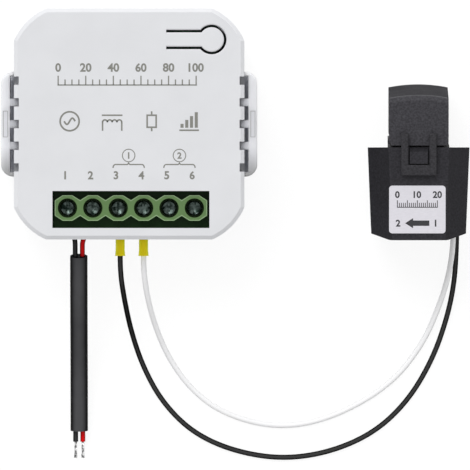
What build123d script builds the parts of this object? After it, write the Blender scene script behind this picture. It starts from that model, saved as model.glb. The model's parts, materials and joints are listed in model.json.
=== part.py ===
from build123d import *
import math
import os

# A flush mounted energy meter module with its supply cable and one split-core current clamp.
# Millimetres, +Z up, origin at the centre of the module's back, on the surface it lies on.
# The face with the terminals and the button looks up. The leads and the clamp lie beside it.

# Casing
body_width = 46.1
body_height = 46.2
corner_cut = 6.4            # from the square corner to the soft corner's end, along each side
corner_bulge = 0.84         # how far the corner's arc stands out from its chord
face_bevel = 0.75
back_bevel = 0.6
parting_groove = 0.2
housing_depth = 12.4
cover_depth = 6.6
face_thickness = 1.8
floor_thickness = 1.6
housing_wall = 1.6
cover_wall = 2.4
lip_depth = 1.6
lip_gap = 0.1
board_gap = 0.3

# Clip bracket and its rail hooks
plate_thickness = 1.6
pad_height = 3.0
pad_width = 16.0
pad_length = 24.0
pad_wall = 1.4
pad_roof = 1.0
pad_rib = 2.4
strip_width = 20.0
ear_length = 21.0
ear_thickness = 1.76
ear_gap = 0.82
ear_return = 0.8
ear_round = 2.4
ear_drop = 1.0              # from the face down to the top of an ear
ear_edge = 0.3
witness_width = 1.0
witness_length = 5.3
witness_depth = 0.15
seat_gap = 0.05
rail_width = 35.0
rail_thickness = 1.0
rail_clearance = 0.2
hook_wall = 2.2
hook_lip = 1.5
hook_lip_thickness = 1.2

# Ear teeth and the notches that hold them
notch_pitch = 4.34
notch_count = 5
notch_width = 1.66
notch_depth = 0.96
notch_height = 4.1
tooth_count = 3
tooth_width = 1.5
tooth_side_gap = 0.1
tooth_rise = 0.2
tooth_height = 2.6
tooth_ramp = 1.2

# Rail latch and its spring
latch_width = 7.0
latch_side_gap = 0.1
latch_inner_end = 3.2
latch_tab = 2.7
latch_travel = 2.5
latch_window_width = 3.2
latch_window_start = 4.5
peg_length = 1.0
peg_gap = 0.2
spring_strip = 0.3
spring_height = 1.0
spring_legs = 6

# Main board
board_thickness = 1.6
board_height = 1.5          # from the housing floor to the board's underside
boss_radius = 1.5
locating_pin_radius = 0.8
locating_pin_gap = 0.1
locating_pin_rise = 0.7
boss_inset = 4.75           # from the casing's sides
boss_upper_gap = 2.5        # from the radio board's edge to the upper bosses' middle
boss_lower_gap = 2.55       # from the block's rear to the lower bosses' middle

# Terminal block, measured up from the board's top
terminal_count = 6
terminal_pitch = 5.08
terminal_x = 0.35           # middle of the block
screw_setback = 4.55        # from the block's front to the screws' middle
block_side = 0.25
block_front_gap = 0.15
block_depth = 9.3
block_height = 10.0
block_floor = 1.2
block_front_wall = 0.8
block_rear_wall = 1.0
cell_width = 4.1
cell_height = 7.7
collar_height = 3.0
collar_depth = 5.1
collar_flat = 1.9
collar_waist = 3.1
well_radius = 1.94
screw_shaft_radius = 1.25
screw_head_radius = 1.5
screw_head_height = 1.6
screw_hole_radius = 1.4
screw_tip_gap = 0.1
screw_slot_width = 0.55
screw_slot_depth = 0.9
screw_edge = 0.25
entry_radius = 1.75
entry_height = 3.95
cage_side_gap = 0.1
cage_wall = 0.5
cage_front_gap = 0.6
cage_length = 5.4
cage_floor = 0.6
cage_floor_height = 3.3
cage_opening = 3.7
cage_roof = 1.0
cage_thread_gap = 0.05
wire_gap = 0.05
bar_thickness = 0.8
bar_side_gap = 0.15
bar_front_gap = 0.3
contact_pin_width = 1.0
contact_pin_depth = 0.8
contact_pin_tail = 0.9
contact_pin_gap = 0.1
block_pocket_gap = 0.15

# Window over the terminals and the opening for their wires
window_width = 31.4
window_edge = 2.3           # from the casing's terminal edge
window_depth = 7.4
wire_slot_below = 3.45      # from the wires' middle
wire_slot_above = 1.95

# Button on its tongue, with the switch below
button_inset_x = 6.55       # from the casing's sides to the button's middle
button_inset_y = 6.2
button_radius = 2.46
tongue_length = 9.1         # from its root to the button's middle
tongue_width = 2.85
tongue_slot = 0.5
tongue_thickness = 1.4
slot_edge = 0.2             # cut off both edges of the slot around the tongue
post_radius = 0.8
post_gap = 0.05
switch_size = 4.5
switch_height = 3.8
plunger_radius = 1.3
plunger_rise = 5.7
plunger_foot = 1.0
plunger_gap = 0.05
button_travel = 0.3

# Electronics on the board
radio_width = 18.0
radio_depth = 9.0
radio_thickness = 0.8
radio_x = -5.5
radio_inset = 7.1           # from the casing's upper edge to its middle
shield_width = 12.0
shield_depth = 7.4
shield_height = 2.2
transformer_width = 12.0
transformer_depth = 10.0
transformer_core_height = 8.2
transformer_core_depth = 4.6
transformer_flange = 1.2
coil_radius = 4.2
transformer_x = -10.5
transformer_setback = 12.55 # from the block's rear to its middle, as for the others
large_capacitor_radius = 4.0
large_capacitor_height = 11.0
small_capacitor_radius = 3.15
small_capacitor_height = 9.0
capacitor_x = 9.0
large_capacitor_setback = 8.35
small_capacitor_setback = 18.05
varistor_radius = 3.4
varistor_thickness = 3.0
varistor_x = -1.5
fuse_radius = 1.6
fuse_length = 6.6
fuse_x = -11.0
fuse_setback = 3.75
lead_wire_radius = 0.3
bridge_width = 4.6
bridge_depth = 3.8
chip_size = 5.0
chip_leg = 0.7
chip_stand = 0.15
small_part_height = 0.9
bridge_height = 1.5
row_gaps = (1.05, 1.3, 2.4, 3.2)   # from the block, past varistor, bridge and chip, to the radio
small_chip_length = 1.6
small_chip_depth = 0.8
small_chip_pitch = 2.4
small_chip_count = 3

# Wires held in the terminals
core_diameter = 1.0
core_terminal_offset = 0.9  # how far each supply core lies off its terminal's middle
sleeve_radius = 0.92
sleeve_stand = 3.3          # out of the casing
sleeve_length = 6.0
sleeve_flare = 0.12
sleeve_flare_length = 1.2
ferrule_radius = 0.5
ferrule_length = 5.2
black_sleeve_x = -1.85
white_sleeve_x = 2.83
black_lead_diameter = 1.05
white_lead_diameter = 1.1

# Supply cable: jacket, two cores in it, bare strands at its far end
jacket_diameter = 3.5
jacket_x = -10.15
core_spacing = 1.44
core_reach = 7.5            # into the casing from its terminal edge
core_bend_near = 2.0
core_bend_far = 0.2
core_droop = 2.25
core_bore_gap = 0.05
strand_diameter = 0.56
strand_length = 3.3

# Current clamp, in its own frame: the cable hole runs along X at the origin, the front faces +Z
hole_radius = 5.0
clamp_depth = 22.0
front_setback = 0.2
base_top_width = 20.4
base_bottom_width = 18.9
base_height = 18.9
base_front_chamfer = 4.1
base_back_chamfer = 1.2
base_wall = 1.2
base_channel_wall = 1.0
base_corner_run = 4.0
base_corner_rise = 1.0
foot_thickness = 1.5
parting_gap = 0.2           # from the pole faces to each half of the casing
shoulder_gap = 0.15         # from the cap's sides to the base's lower shoulders
cap_width = 11.9
cap_height = 10.2
cap_crown = 0.6
cap_front_round = 1.2
cap_corner = 0.6
cap_channel_wall = 0.8
cap_roof = 1.3
core_width = 8.6
core_leg = 3.0
core_leg_start = 6.1
core_gap = 0.1
upper_yoke = 2.1
lower_yoke = 3.2
lower_yoke_drop = 9.1
bobbin_flange = 0.5
bobbin_wall = 0.5
bobbin_gap = 0.1
bobbin_end_gap = 0.6
winding_thickness = 2.0
winding_flange_rim = 0.3
spring_leaf = 0.2
spring_leaf_width = 6.0
barrel_radius = 1.2
barrel_standoff = 0.9
knuckle_count = 5
hinge_length = 11.0
knuckle_gap = 0.1
knuckle_clearance = 0.15
hinge_pin_radius = 0.5
pin_fit = 0.02
pin_running_gap = 0.05
web_height = 1.6
loop_width = 7.0
loop_leg = 1.4
loop_bar = 2.1
loop_top = 2.7
loop_bottom = -5.7
loop_thickness = 1.25
catch_width = 3.6
catch_height = 3.05
catch_gap = 0.25
catch_depth = 1.3
catch_ramp = 0.6
label_width = 11.3
label_height = 9.6
label_corner = 0.65
label_thickness = 0.12
label_y = -12.7
label_x = -0.3
rib_width = 6.0
rib_depth = 1.2
grommet_width = 2.9
grommet_depth = 3.4
grommet_stand = 0.5
grommet_inside = 1.2
grommet_clearance = 0.05

# Where the clamp lies
clamp_x = 57.95
clamp_y = -3.27

# The leads' ends at the clamp, in the clamp's frame
lead_exit_run = 2.6
black_exit_x = 7.75
black_exit_z = -7.05
white_exit_x = 7.05
white_exit_z = -5.95

# Heights and places worked out from the sizes above
plate_back = pad_height
housing_back = plate_back + plate_thickness
parting = housing_back + housing_depth
face_z = parting + cover_depth
face_under = face_z - face_thickness
floor_top = housing_back + floor_thickness
board_bottom = floor_top + board_height
board_top = board_bottom + board_thickness
body_right = body_width / 2
body_high = body_height / 2
body_low = -body_high
block_width = terminal_count * terminal_pitch + 2 * block_side
block_front = body_low + housing_wall + block_front_gap
block_back = block_front + block_depth
screw_y = block_front + screw_setback
window_bottom = body_low + window_edge
window_top = window_bottom + window_depth
block_top = board_top + block_height
collar_top = block_top + collar_height
cage_half = cell_width / 2 - cage_side_gap
cage_inner_half = cage_half - cage_wall
cage_front = block_front + block_front_wall + cage_front_gap
wire_z = board_top + cage_floor_height + cage_floor + wire_gap + core_diameter / 2
wire_slot_low = wire_z - wire_slot_below
wire_slot_high = wire_z + wire_slot_above
bar_bottom = wire_z + core_diameter / 2 + wire_gap
bar_top = bar_bottom + bar_thickness
shoulder_bottom = board_top + block_floor + cell_height
shoulder_top = block_top - (block_top - shoulder_bottom) * 0.36
ear_top = face_z - ear_drop
ear_inner = body_right + ear_gap
ear_outer = ear_inner + ear_thickness
notch_floor = face_z - notch_height
tooth_bottom = notch_floor + tooth_rise
hook_rise = pad_height - rail_thickness - rail_clearance - hook_lip_thickness
hook_inner = rail_width / 2 + rail_clearance
hook_outer = hook_inner + hook_wall
latch_end = hook_outer + latch_tab
latch_window_length = 3 * latch_travel   # the spring closes by no more than half
tongue_bottom = face_z - tongue_thickness
plunger_top = board_top + switch_height + plunger_rise
button_x = body_right - button_inset_x
button_y = body_high - button_inset_y
tongue_root_x = button_x - tongue_length
boss_x = body_right - boss_inset
radio_y = body_high - radio_inset
radio_front = radio_y - radio_depth / 2
boss_upper_y = radio_front - boss_upper_gap
boss_lower_y = block_back + boss_lower_gap
transformer_y = block_back + transformer_setback
large_capacitor_y = block_back + large_capacitor_setback
small_capacitor_y = block_back + small_capacitor_setback
fuse_y = block_back + fuse_setback
sleeve_outer_end = body_low - sleeve_stand
sleeve_inner_end = sleeve_outer_end + sleeve_length
ferrule_inner_end = sleeve_inner_end + ferrule_length
terminal_xs = [
    terminal_x + (i - (terminal_count - 1) / 2) * terminal_pitch for i in range(terminal_count)
]
clamp_back = -clamp_depth / 2
clamp_front = clamp_depth / 2
base_front = clamp_front - front_setback
barrel_z = clamp_back - barrel_standoff
core_leg_end = core_leg_start + core_leg
button_angle = math.degrees(button_travel / tongue_length)

# The varistor, the bridge and the metering chip share the room between the block and the radio
row_room = radio_front - block_back - 2 * varistor_radius - bridge_depth - chip_size
row_steps = [row_room * gap / sum(row_gaps) for gap in row_gaps]
varistor_y = block_back + row_steps[0] + varistor_radius
bridge_y = varistor_y + varistor_radius + row_steps[1] + bridge_depth / 2
metering_chip_y = bridge_y + bridge_depth / 2 + row_steps[2] + chip_size / 2

# The clamp lies on its hinge barrel and on its foot's back edge, so its cap end is tipped up
tip_angle = math.asin(barrel_radius / math.hypot(base_height, barrel_standoff)) + math.atan2(
    barrel_standoff, base_height
)
clamp_z = barrel_radius - barrel_z * math.cos(tip_angle)
clamp_place = Location((clamp_x, clamp_y, clamp_z), (math.degrees(tip_angle), 0, 0))

# Routes of the free cords, chosen by hand. Here y is measured from the casing's terminal edge
jacket_steps = [(-3.3, 13.46), (-12.3, 11.0), (-20.6, 6.7), (-29.2, 3.1), (-38.4, 1.8)]
bare_end_step = (-40.6, 1.49)
black_lead_steps = [
    (-1.1, -11.7, 10.9),
    (0.3, -18.5, 5.4),
    (2.7, -25.7, 1.5),
    (6.6, -32.8, 0.56),
    (12.6, -38.8, 0.56),
    (20.6, -42.5, 0.56),
    (30.5, -44.2, 0.56),
    (40.3, -42.8, 0.56),
    (49.3, -38.8, 0.56),
    (56.1, -32.3, 0.56),
    (61.0, -23.9, 0.56),
    (63.9, -15.5, 0.7),
    (65.3, -8.5, 2.2),
]
white_lead_steps = [
    (3.5, -11.2, 10.9),
    (5.1, -17.4, 5.8),
    (7.9, -24, 1.8),
    (12.3, -30.1, 0.58),
    (18.4, -34.8, 0.58),
    (27.6, -37.6, 0.58),
    (36.4, -37.1, 0.58),
    (45.4, -33.6, 0.58),
    (53.5, -28.1, 0.58),
    (59.2, -20.5, 0.58),
    (62.4, -13, 1.5),
    (64.2, -6.9, 3.5),
]
black_straight_run = 3.2
white_straight_run = 2.9
jacket_route = [(jacket_x, body_low + y, z) for y, z in jacket_steps]
core_bare_end = (body_low + bare_end_step[0], bare_end_step[1])
black_lead_route = [
    (black_sleeve_x, sleeve_outer_end, wire_z),
    (black_sleeve_x, sleeve_outer_end - black_straight_run, wire_z),
    *[(x, body_low + y, z) for x, y, z in black_lead_steps],
]
white_lead_route = [
    (white_sleeve_x, sleeve_outer_end, wire_z),
    (white_sleeve_x, sleeve_outer_end - white_straight_run, wire_z),
    *[(x, body_low + y, z) for x, y, z in white_lead_steps],
]


def cuboid(x_range, y_range, z_range):
    """A box given by its low and high sides."""
    sides = [high - low for low, high in (x_range, y_range, z_range)]
    middle = [(low + high) / 2 for low, high in (x_range, y_range, z_range)]
    return Pos(*middle) * Box(*sides)


def rod(radius, low, high, x, y):
    """An upright cylinder from one height to another."""
    return Pos(x, y, (low + high) / 2) * Cylinder(radius, high - low)


def rod_along_x(radius, x_range, y, z):
    """A cylinder that lies along X."""
    low, high = x_range
    return Pos((low + high) / 2, y, z) * Rot(0, 90, 0) * Cylinder(radius, high - low)


def rod_along_y(radius, y_range, x, z):
    """A cylinder that lies along Y."""
    low, high = y_range
    return Pos(x, (low + high) / 2, z) * Rot(90, 0, 0) * Cylinder(radius, high - low)


def polygon_prism(points, x_range):
    """A prism along X over a polygon of (y, z) points."""
    low, high = x_range
    wire = Wire.make_polygon([Vector(low, y, z) for y, z in points], close=True)
    return extrude(Face(wire), amount=high - low, dir=(1, 0, 0))


def casing_slab(low, high, inset):
    """The casing's outline, drawn in by inset, as a slab: straight sides and shallow corner arcs."""
    half_x = body_width / 2 - inset
    half_y = body_height / 2 - inset
    cut = corner_cut - inset * (2 - math.sqrt(2))
    bulge = corner_bulge * cut / corner_cut / math.sqrt(2)
    edges = []
    ends = []
    for sign_x, sign_y in ((1, 1), (-1, 1), (-1, -1), (1, -1)):
        side = (sign_x * half_x, sign_y * (half_y - cut), low)
        top = (sign_x * (half_x - cut), sign_y * half_y, low)
        first, last = (side, top) if sign_x == sign_y else (top, side)
        middle = (
            sign_x * (half_x - cut / 2 + bulge),
            sign_y * (half_y - cut / 2 + bulge),
            low,
        )
        edges.append(ThreePointArc(first, middle, last))
        ends.append((first, last))
    for i, (first, last) in enumerate(ends):
        edges.append(Line(last, ends[(i + 1) % 4][0]))
    return extrude(Face(Wire(edges)), amount=high - low, dir=(0, 0, 1))


def top_edges(shape):
    """The edges of the highest face."""
    return shape.faces().sort_by(Axis.Z)[-1].edges()


def bottom_edges(shape):
    """The edges of the lowest face."""
    return shape.faces().sort_by(Axis.Z)[0].edges()


def keyhole(arm_width, disc_radius, low, high, root_x):
    """The tongue's plan, an arm that ends in a disc, as a slab."""
    arm = cuboid(
        (root_x, button_x),
        (button_y - arm_width / 2, button_y + arm_width / 2),
        (low, high),
    )
    return arm + rod(disc_radius, low, high, button_x, button_y)


def slot_edges(shape, reach):
    """The face's edges along the slot around the tongue, without the one at the tongue's root."""
    near = slot_edge / 10
    return [
        edge
        for edge in shape.edges().filter_by_position(Axis.Z, face_z - near, face_z + near)
        if edge.center().X > tongue_root_x + near
        and edge.bounding_box().max.X < button_x + reach + near
        and abs(edge.center().Y - button_y) < reach
    ]


def block_range():
    """The terminal block's sides along X."""
    return terminal_x - block_width / 2, terminal_x + block_width / 2


def front_cover():
    shell = casing_slab(parting, face_z, 0)
    shell = chamfer(top_edges(shell), face_bevel)
    shell = chamfer(bottom_edges(shell), parting_groove)
    shell -= casing_slab(parting, face_under, cover_wall)
    lip_outer = housing_wall + lip_gap
    lip = casing_slab(parting - lip_depth, parting + 0.5 * lip_depth, lip_outer)
    lip -= casing_slab(parting - lip_depth, parting + 0.5 * lip_depth, cover_wall)
    shell += lip
    left, right = block_range()
    shell -= cuboid(
        (left - block_pocket_gap, right + block_pocket_gap),
        (block_front - block_pocket_gap, block_back),
        (parting - 2 * lip_depth, face_under),
    )
    shell -= cuboid(
        (terminal_x - window_width / 2, terminal_x + window_width / 2),
        (window_bottom, window_top),
        (parting - 2 * lip_depth, face_z + 1),
    )
    slot_width = tongue_width + 2 * tongue_slot
    slot_radius = button_radius + tongue_slot
    shell -= keyhole(slot_width, slot_radius, tongue_bottom - 2 * button_travel, face_z + 1, tongue_root_x)
    shell = chamfer(slot_edges(shell, slot_radius), slot_edge)
    for side in (-1, 1):
        for i in range(notch_count):
            y = (i - (notch_count - 1) / 2) * notch_pitch
            inner = side * (body_right - notch_depth)
            outer = side * (body_right + 1)
            shell -= cuboid(
                (min(inner, outer), max(inner, outer)),
                (y - notch_width / 2, y + notch_width / 2),
                (notch_floor, face_z + 1),
            )
    return shell


def button_tongue():
    tongue = keyhole(tongue_width, button_radius, tongue_bottom, face_z, tongue_root_x)
    tongue = chamfer(slot_edges(tongue, button_radius), slot_edge)
    post = rod(post_radius, plunger_top + post_gap, tongue_bottom, button_x, button_y)
    return tongue + post


def boss_places():
    """The four bosses that carry the board."""
    return [(side * boss_x, y) for side in (-1, 1) for y in (boss_upper_y, boss_lower_y)]


def rear_housing():
    shell = casing_slab(housing_back, parting, 0)
    shell = chamfer(bottom_edges(shell), back_bevel)
    shell = chamfer(top_edges(shell), parting_groove)
    shell -= casing_slab(floor_top, parting, housing_wall)
    shell -= cuboid(
        (terminal_x - window_width / 2, terminal_x + window_width / 2),
        (body_low - 1, block_front),
        (wire_slot_low, wire_slot_high),
    )
    for x, y in boss_places():
        shell += rod(boss_radius, floor_top - 0.5 * floor_thickness, board_bottom, x, y)
        pin_low = board_bottom - 0.5 * board_height
        shell += rod(locating_pin_radius, pin_low, board_top + locating_pin_rise, x, y)
    return shell


def ear(side):
    """One ear: a C in plan, with teeth that reach into the casing's notches."""
    near = body_right + seat_gap
    outline = Rectangle(ear_outer - near, ear_length)
    outline = Pos((ear_outer + near) / 2, 0) * outline
    outer_corners = outline.vertices().sort_by(Axis.X)[-2:]
    outline = fillet(outer_corners, ear_round)
    ear_body = Pos(0, 0, plate_back) * extrude(outline, ear_top - plate_back)
    ear_body = chamfer(top_edges(ear_body).sort_by(Axis.X)[1:], ear_edge)
    ear_body -= cuboid(
        (near - 1, ear_inner),
        (-ear_length / 2 + ear_return, ear_length / 2 - ear_return),
        (housing_back, ear_top + 1),
    )
    middle = (ear_inner + ear_outer) / 2
    ear_body -= cuboid(
        (middle - witness_width / 2, middle + witness_width / 2),
        (-witness_length / 2, witness_length / 2),
        (ear_top - witness_depth, ear_top + 1),
    )
    tip = body_right - notch_depth + tooth_side_gap
    for i in range(tooth_count):
        y = (i - (tooth_count - 1) / 2) * notch_pitch
        section = [
            (ear_inner + 0.5 * ear_thickness, tooth_bottom),
            (tip, tooth_bottom),
            (tip, tooth_bottom + tooth_height - tooth_ramp),
            (ear_inner, tooth_bottom + tooth_height),
            (ear_inner + 0.5 * ear_thickness, tooth_bottom + tooth_height),
        ]
        wire = Wire.make_polygon([Vector(x, y - tooth_width / 2, z) for x, z in section], close=True)
        ear_body += extrude(Face(wire), amount=tooth_width, dir=(0, 1, 0))
    return ear_body if side > 0 else ear_body.rotate(Axis.Z, 180)


def rail_hook(half_width, z_top):
    """A hook over the rail's edge at +Y: a wall that goes down and a lip that turns in."""
    wall = cuboid((-half_width, half_width), (hook_inner, hook_outer), (hook_rise, z_top))
    lip = cuboid(
        (-half_width, half_width),
        (hook_inner - hook_lip, hook_outer),
        (hook_rise, hook_rise + hook_lip_thickness),
    )
    return wall + lip


def rail_bracket():
    near = body_right + seat_gap + 0.5
    plate = cuboid((-near, near), (-ear_length / 2, ear_length / 2), (plate_back, housing_back))
    strip_end = hook_outer + 0.7 * latch_tab
    plate += cuboid(
        (-strip_width / 2, strip_width / 2), (-strip_end, hook_outer), (plate_back, housing_back)
    )
    pad = cuboid(
        (-pad_width / 2, pad_width / 2), (-pad_length / 2, pad_length / 2), (0, plate_back)
    )
    pocket_x = pad_width / 2 - pad_wall
    pocket_y = pad_length / 2 - pad_wall
    for side_x in (-1, 1):
        for side_y in (-1, 1):
            ends_x = sorted((side_x * pad_rib / 2, side_x * pocket_x))
            ends_y = sorted((side_y * pad_rib / 2, side_y * pocket_y))
            pad -= cuboid(ends_x, ends_y, (-1, pad_height - pad_roof))
    bracket = plate + pad + rail_hook(pad_width / 2, plate_back + 0.5 * plate_thickness)
    slot_half = latch_width / 2 + latch_side_gap
    bracket -= cuboid(
        (-slot_half, slot_half), (-strip_end - 1, -latch_inner_end + peg_gap), (plate_back, housing_back)
    )
    peg_y = latch_window_start + latch_window_length - peg_gap
    bracket += cuboid(
        (-latch_window_width / 2 + peg_gap, latch_window_width / 2 - peg_gap),
        (-peg_y, -peg_y + peg_length),
        (plate_back - 0.5 * pad_roof, housing_back - seat_gap),
    )
    return bracket + ear(1) + ear(-1)


def rail_latch():
    low = plate_back + seat_gap
    high = housing_back - seat_gap
    half = latch_width / 2
    slab = cuboid((-half, half), (-latch_end, -latch_inner_end), (low, high))
    slab += rail_hook(half - latch_side_gap, low + 0.5 * plate_thickness).rotate(Axis.Z, 180)
    slab -= cuboid(
        (-latch_window_width / 2, latch_window_width / 2),
        (-latch_window_start - latch_window_length, -latch_window_start),
        (low - 1, high + 1),
    )
    tab_slot = latch_tab * 0.4
    slab -= cuboid(
        (-half * 0.45, half * 0.45),
        (-hook_outer - 1.5 * tab_slot, -hook_outer - 0.5 * tab_slot),
        (low - 1, high + 1),
    )
    return slab


def latch_spring():
    """A flat zigzag spring between the latch and the bracket's peg."""
    start = -latch_window_start
    end = -(latch_window_start + latch_window_length - peg_gap - peg_length)
    pitch = (start - end - spring_strip) / (spring_legs - 1)
    half = latch_window_width / 2 - peg_gap
    low = plate_back + (plate_thickness - spring_height) / 2
    spring = None
    for i in range(spring_legs):
        y = start - spring_strip / 2 - i * pitch
        leg = cuboid((-half, half), (y - spring_strip / 2, y + spring_strip / 2), (low, low + spring_height))
        spring = leg if spring is None else spring + leg
        if i < spring_legs - 1:
            edge = half if i % 2 == 0 else -half + spring_strip
            spring += cuboid(
                (edge - spring_strip, edge),
                (y - pitch - spring_strip / 2, y + spring_strip / 2),
                (low, low + spring_height),
            )
    return spring


def pin_y():
    """Where each contact bar's pin goes down, just inside the block's rear wall."""
    return block_back - block_rear_wall - contact_pin_gap - contact_pin_depth / 2


def contact_pin(x, low, high, gap):
    """The square pin of one contact, or the hole for it when gap is more than nothing."""
    half_x = contact_pin_width / 2 + gap
    half_y = contact_pin_depth / 2 + gap
    return cuboid((x - half_x, x + half_x), (pin_y() - half_y, pin_y() + half_y), (low, high))


def main_board():
    board = casing_slab(board_bottom, board_top, housing_wall + board_gap)
    for x, y in boss_places():
        board -= rod(locating_pin_radius + locating_pin_gap, board_bottom - 1, board_top + 1, x, y)
    for x in terminal_xs:
        board -= contact_pin(x, board_bottom - 1, board_top + 1, contact_pin_gap)
    return board


def collar(x):
    """One raised collar around a screw well: an eight-sided shape, wider than it is deep."""
    half_flat = collar_flat / 2
    half_pitch = terminal_pitch / 2
    top = collar_depth / 2
    waist = collar_waist / 2
    points = [
        (-half_pitch, -waist),
        (-half_flat, -top),
        (half_flat, -top),
        (half_pitch, -waist),
        (half_pitch, waist),
        (half_flat, top),
        (-half_flat, top),
        (-half_pitch, waist),
    ]
    wire = Wire.make_polygon([Vector(x + px, screw_y + py, block_top) for px, py in points], close=True)
    return extrude(Face(wire), amount=collar_height, dir=(0, 0, 1))


def terminal_block():
    block = cuboid(block_range(), (block_front, block_back), (board_top, block_top))
    cell_front = block_front + block_front_wall
    cell_back = block_back - block_rear_wall
    for x in terminal_xs:
        block += collar(x)
    for x in terminal_xs:
        block -= cuboid(
            (x - cell_width / 2, x + cell_width / 2),
            (cell_front, cell_back),
            (board_top + block_floor, shoulder_bottom),
        )
        block -= rod(screw_hole_radius, shoulder_bottom - 1, shoulder_top + 1, x, screw_y)
        block -= rod(well_radius, shoulder_top, collar_top + 1, x, screw_y)
        block -= rod_along_y(entry_radius, (block_front - 1, cell_front + 0.5), x, board_top + entry_height)
        block -= contact_pin(x, board_top - 1, board_top + block_floor + 1, contact_pin_gap)
    return block


def terminal_screw(x):
    head_top = shoulder_top + screw_head_height
    screw = rod(screw_shaft_radius, bar_top + screw_tip_gap, shoulder_top + 0.5, x, screw_y)
    head = rod(screw_head_radius, shoulder_top, head_top, x, screw_y)
    screw += chamfer(top_edges(head), screw_edge)
    slot_half = screw_slot_width / 2
    for half_x, half_y in ((slot_half, 2 * screw_head_radius), (2 * screw_head_radius, slot_half)):
        screw -= cuboid(
            (x - half_x, x + half_x),
            (screw_y - half_y, screw_y + half_y),
            (head_top - screw_slot_depth, head_top + 1),
        )
    return screw


def terminal_cage(x):
    low = board_top + cage_floor_height
    inner_low = low + cage_floor
    inner_high = inner_low + cage_opening
    high = inner_high + cage_roof
    back = cage_front + cage_length
    cage = cuboid((x - cage_half, x + cage_half), (cage_front, back), (low, high))
    cage -= cuboid(
        (x - cage_inner_half, x + cage_inner_half), (cage_front - 1, back + 1), (inner_low, inner_high)
    )
    cage -= rod(screw_shaft_radius + cage_thread_gap, inner_high - 1, high + 1, x, screw_y)
    return cage


def contact_bars():
    """Six fixed bars that the wires are pressed up against, each with its pin through the board."""
    half = cage_inner_half - bar_side_gap
    front = block_front + block_front_wall + bar_front_gap
    back = pin_y() + contact_pin_depth / 2
    bars = []
    for x in terminal_xs:
        bar = cuboid((x - half, x + half), (front, back), (bar_bottom, bar_top))
        bar += contact_pin(x, board_bottom - contact_pin_tail, bar_bottom + 0.5 * bar_thickness, 0)
        bars.append(bar)
    return Compound(bars)


def tact_switch():
    half = switch_size / 2
    body = cuboid(
        (button_x - half, button_x + half),
        (button_y - half, button_y + half),
        (board_top, board_top + switch_height),
    )
    well = plunger_foot + button_travel + plunger_gap
    body -= rod(plunger_radius + plunger_gap, board_top + switch_height - well, face_z, button_x, button_y)
    return body


def tact_plunger():
    low = board_top + switch_height - plunger_foot
    return rod(plunger_radius, low, plunger_top, button_x, button_y)


def status_led():
    x = button_x - switch_size - 2.0
    y = button_y + 0.5 * switch_size
    half_x = small_chip_length / 2
    half_y = small_chip_depth / 2
    heights = (board_top, board_top + small_part_height)
    return cuboid((x - half_x, x + half_x), (y - half_y, y + half_y), heights)


def radio_board():
    half_x = radio_width / 2
    half_y = radio_depth / 2
    return cuboid(
        (radio_x - half_x, radio_x + half_x),
        (radio_y - half_y, radio_y + half_y),
        (board_top, board_top + radio_thickness),
    )


def radio_shield():
    low = board_top + radio_thickness
    half_x = shield_width / 2
    half_y = shield_depth / 2
    can = cuboid(
        (radio_x - half_x, radio_x + half_x), (radio_y - half_y, radio_y + half_y), (low, low + shield_height)
    )
    return chamfer(top_edges(can), 0.15 * shield_height)


def supply_transformer():
    """A small switching transformer: two flanges, a round coil and a core frame around it."""
    half_x = transformer_width / 2
    half_y = transformer_depth / 2
    x_range = (transformer_x - half_x, transformer_x + half_x)
    y_range = (transformer_y - half_y, transformer_y + half_y)
    coil_low = board_top + transformer_flange
    coil_high = coil_low + transformer_core_height - 2 * transformer_flange
    body = cuboid(x_range, y_range, (board_top, coil_low))
    body += rod(coil_radius, coil_low, coil_high, transformer_x, transformer_y)
    body += cuboid(x_range, y_range, (coil_high, coil_high + transformer_flange))
    core_half = transformer_core_depth / 2
    core_side = half_x - coil_radius - 0.2
    core_y = (transformer_y - core_half, transformer_y + core_half)
    core_top = coil_high + 2 * transformer_flange
    for side in (-1, 1):
        inner = transformer_x + side * (half_x - core_side)
        outer = transformer_x + side * half_x
        body += cuboid(sorted((inner, outer)), core_y, (board_top, core_top))
    body += cuboid(x_range, core_y, (coil_high, core_top))
    return body


def supply_capacitors():
    """Two upright can capacitors, one for each side of the supply."""
    cans = []
    for radius, height, y in (
        (large_capacitor_radius, large_capacitor_height, large_capacitor_y),
        (small_capacitor_radius, small_capacitor_height, small_capacitor_y),
    ):
        can = rod(radius, board_top, board_top + height, capacitor_x, y)
        groove_z = board_top + 0.12 * height
        ring = rod(radius + 1, groove_z, groove_z + 0.6, capacitor_x, y)
        ring -= rod(0.93 * radius, groove_z - 1, groove_z + 2, capacitor_x, y)
        can = chamfer(top_edges(can), 0.08 * radius)
        cans.append(can - ring)
    return Compound(cans)


def surge_varistor():
    """A coated disc that stands on two wire legs."""
    middle = board_top + varistor_radius + 0.5
    x_range = (varistor_x - varistor_thickness / 2, varistor_x + varistor_thickness / 2)
    disc = rod_along_x(varistor_radius, x_range, varistor_y, middle)
    disc = fillet(disc.edges(), 0.3 * varistor_thickness)
    for side in (-1, 1):
        leg_y = varistor_y + side * 0.6 * varistor_radius
        disc += rod(lead_wire_radius, board_top, middle, varistor_x, leg_y)
    return disc


def fuse_resistor():
    """A barrel resistor that lies over the board on two bent legs."""
    middle = board_top + fuse_radius + 0.3
    half = fuse_length / 2
    barrel = rod_along_x(fuse_radius, (fuse_x - half, fuse_x + half), fuse_y, middle)
    barrel = fillet(barrel.edges(), 0.3 * fuse_radius)
    reach = half + 3 * lead_wire_radius
    barrel += rod_along_x(0.8 * lead_wire_radius, (fuse_x - reach, fuse_x + reach), fuse_y, middle)
    for side in (-1, 1):
        leg_x = fuse_x + side * (reach - 0.8 * lead_wire_radius)
        barrel += rod(lead_wire_radius, board_top, middle + lead_wire_radius, leg_x, fuse_y)
    return barrel


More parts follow.
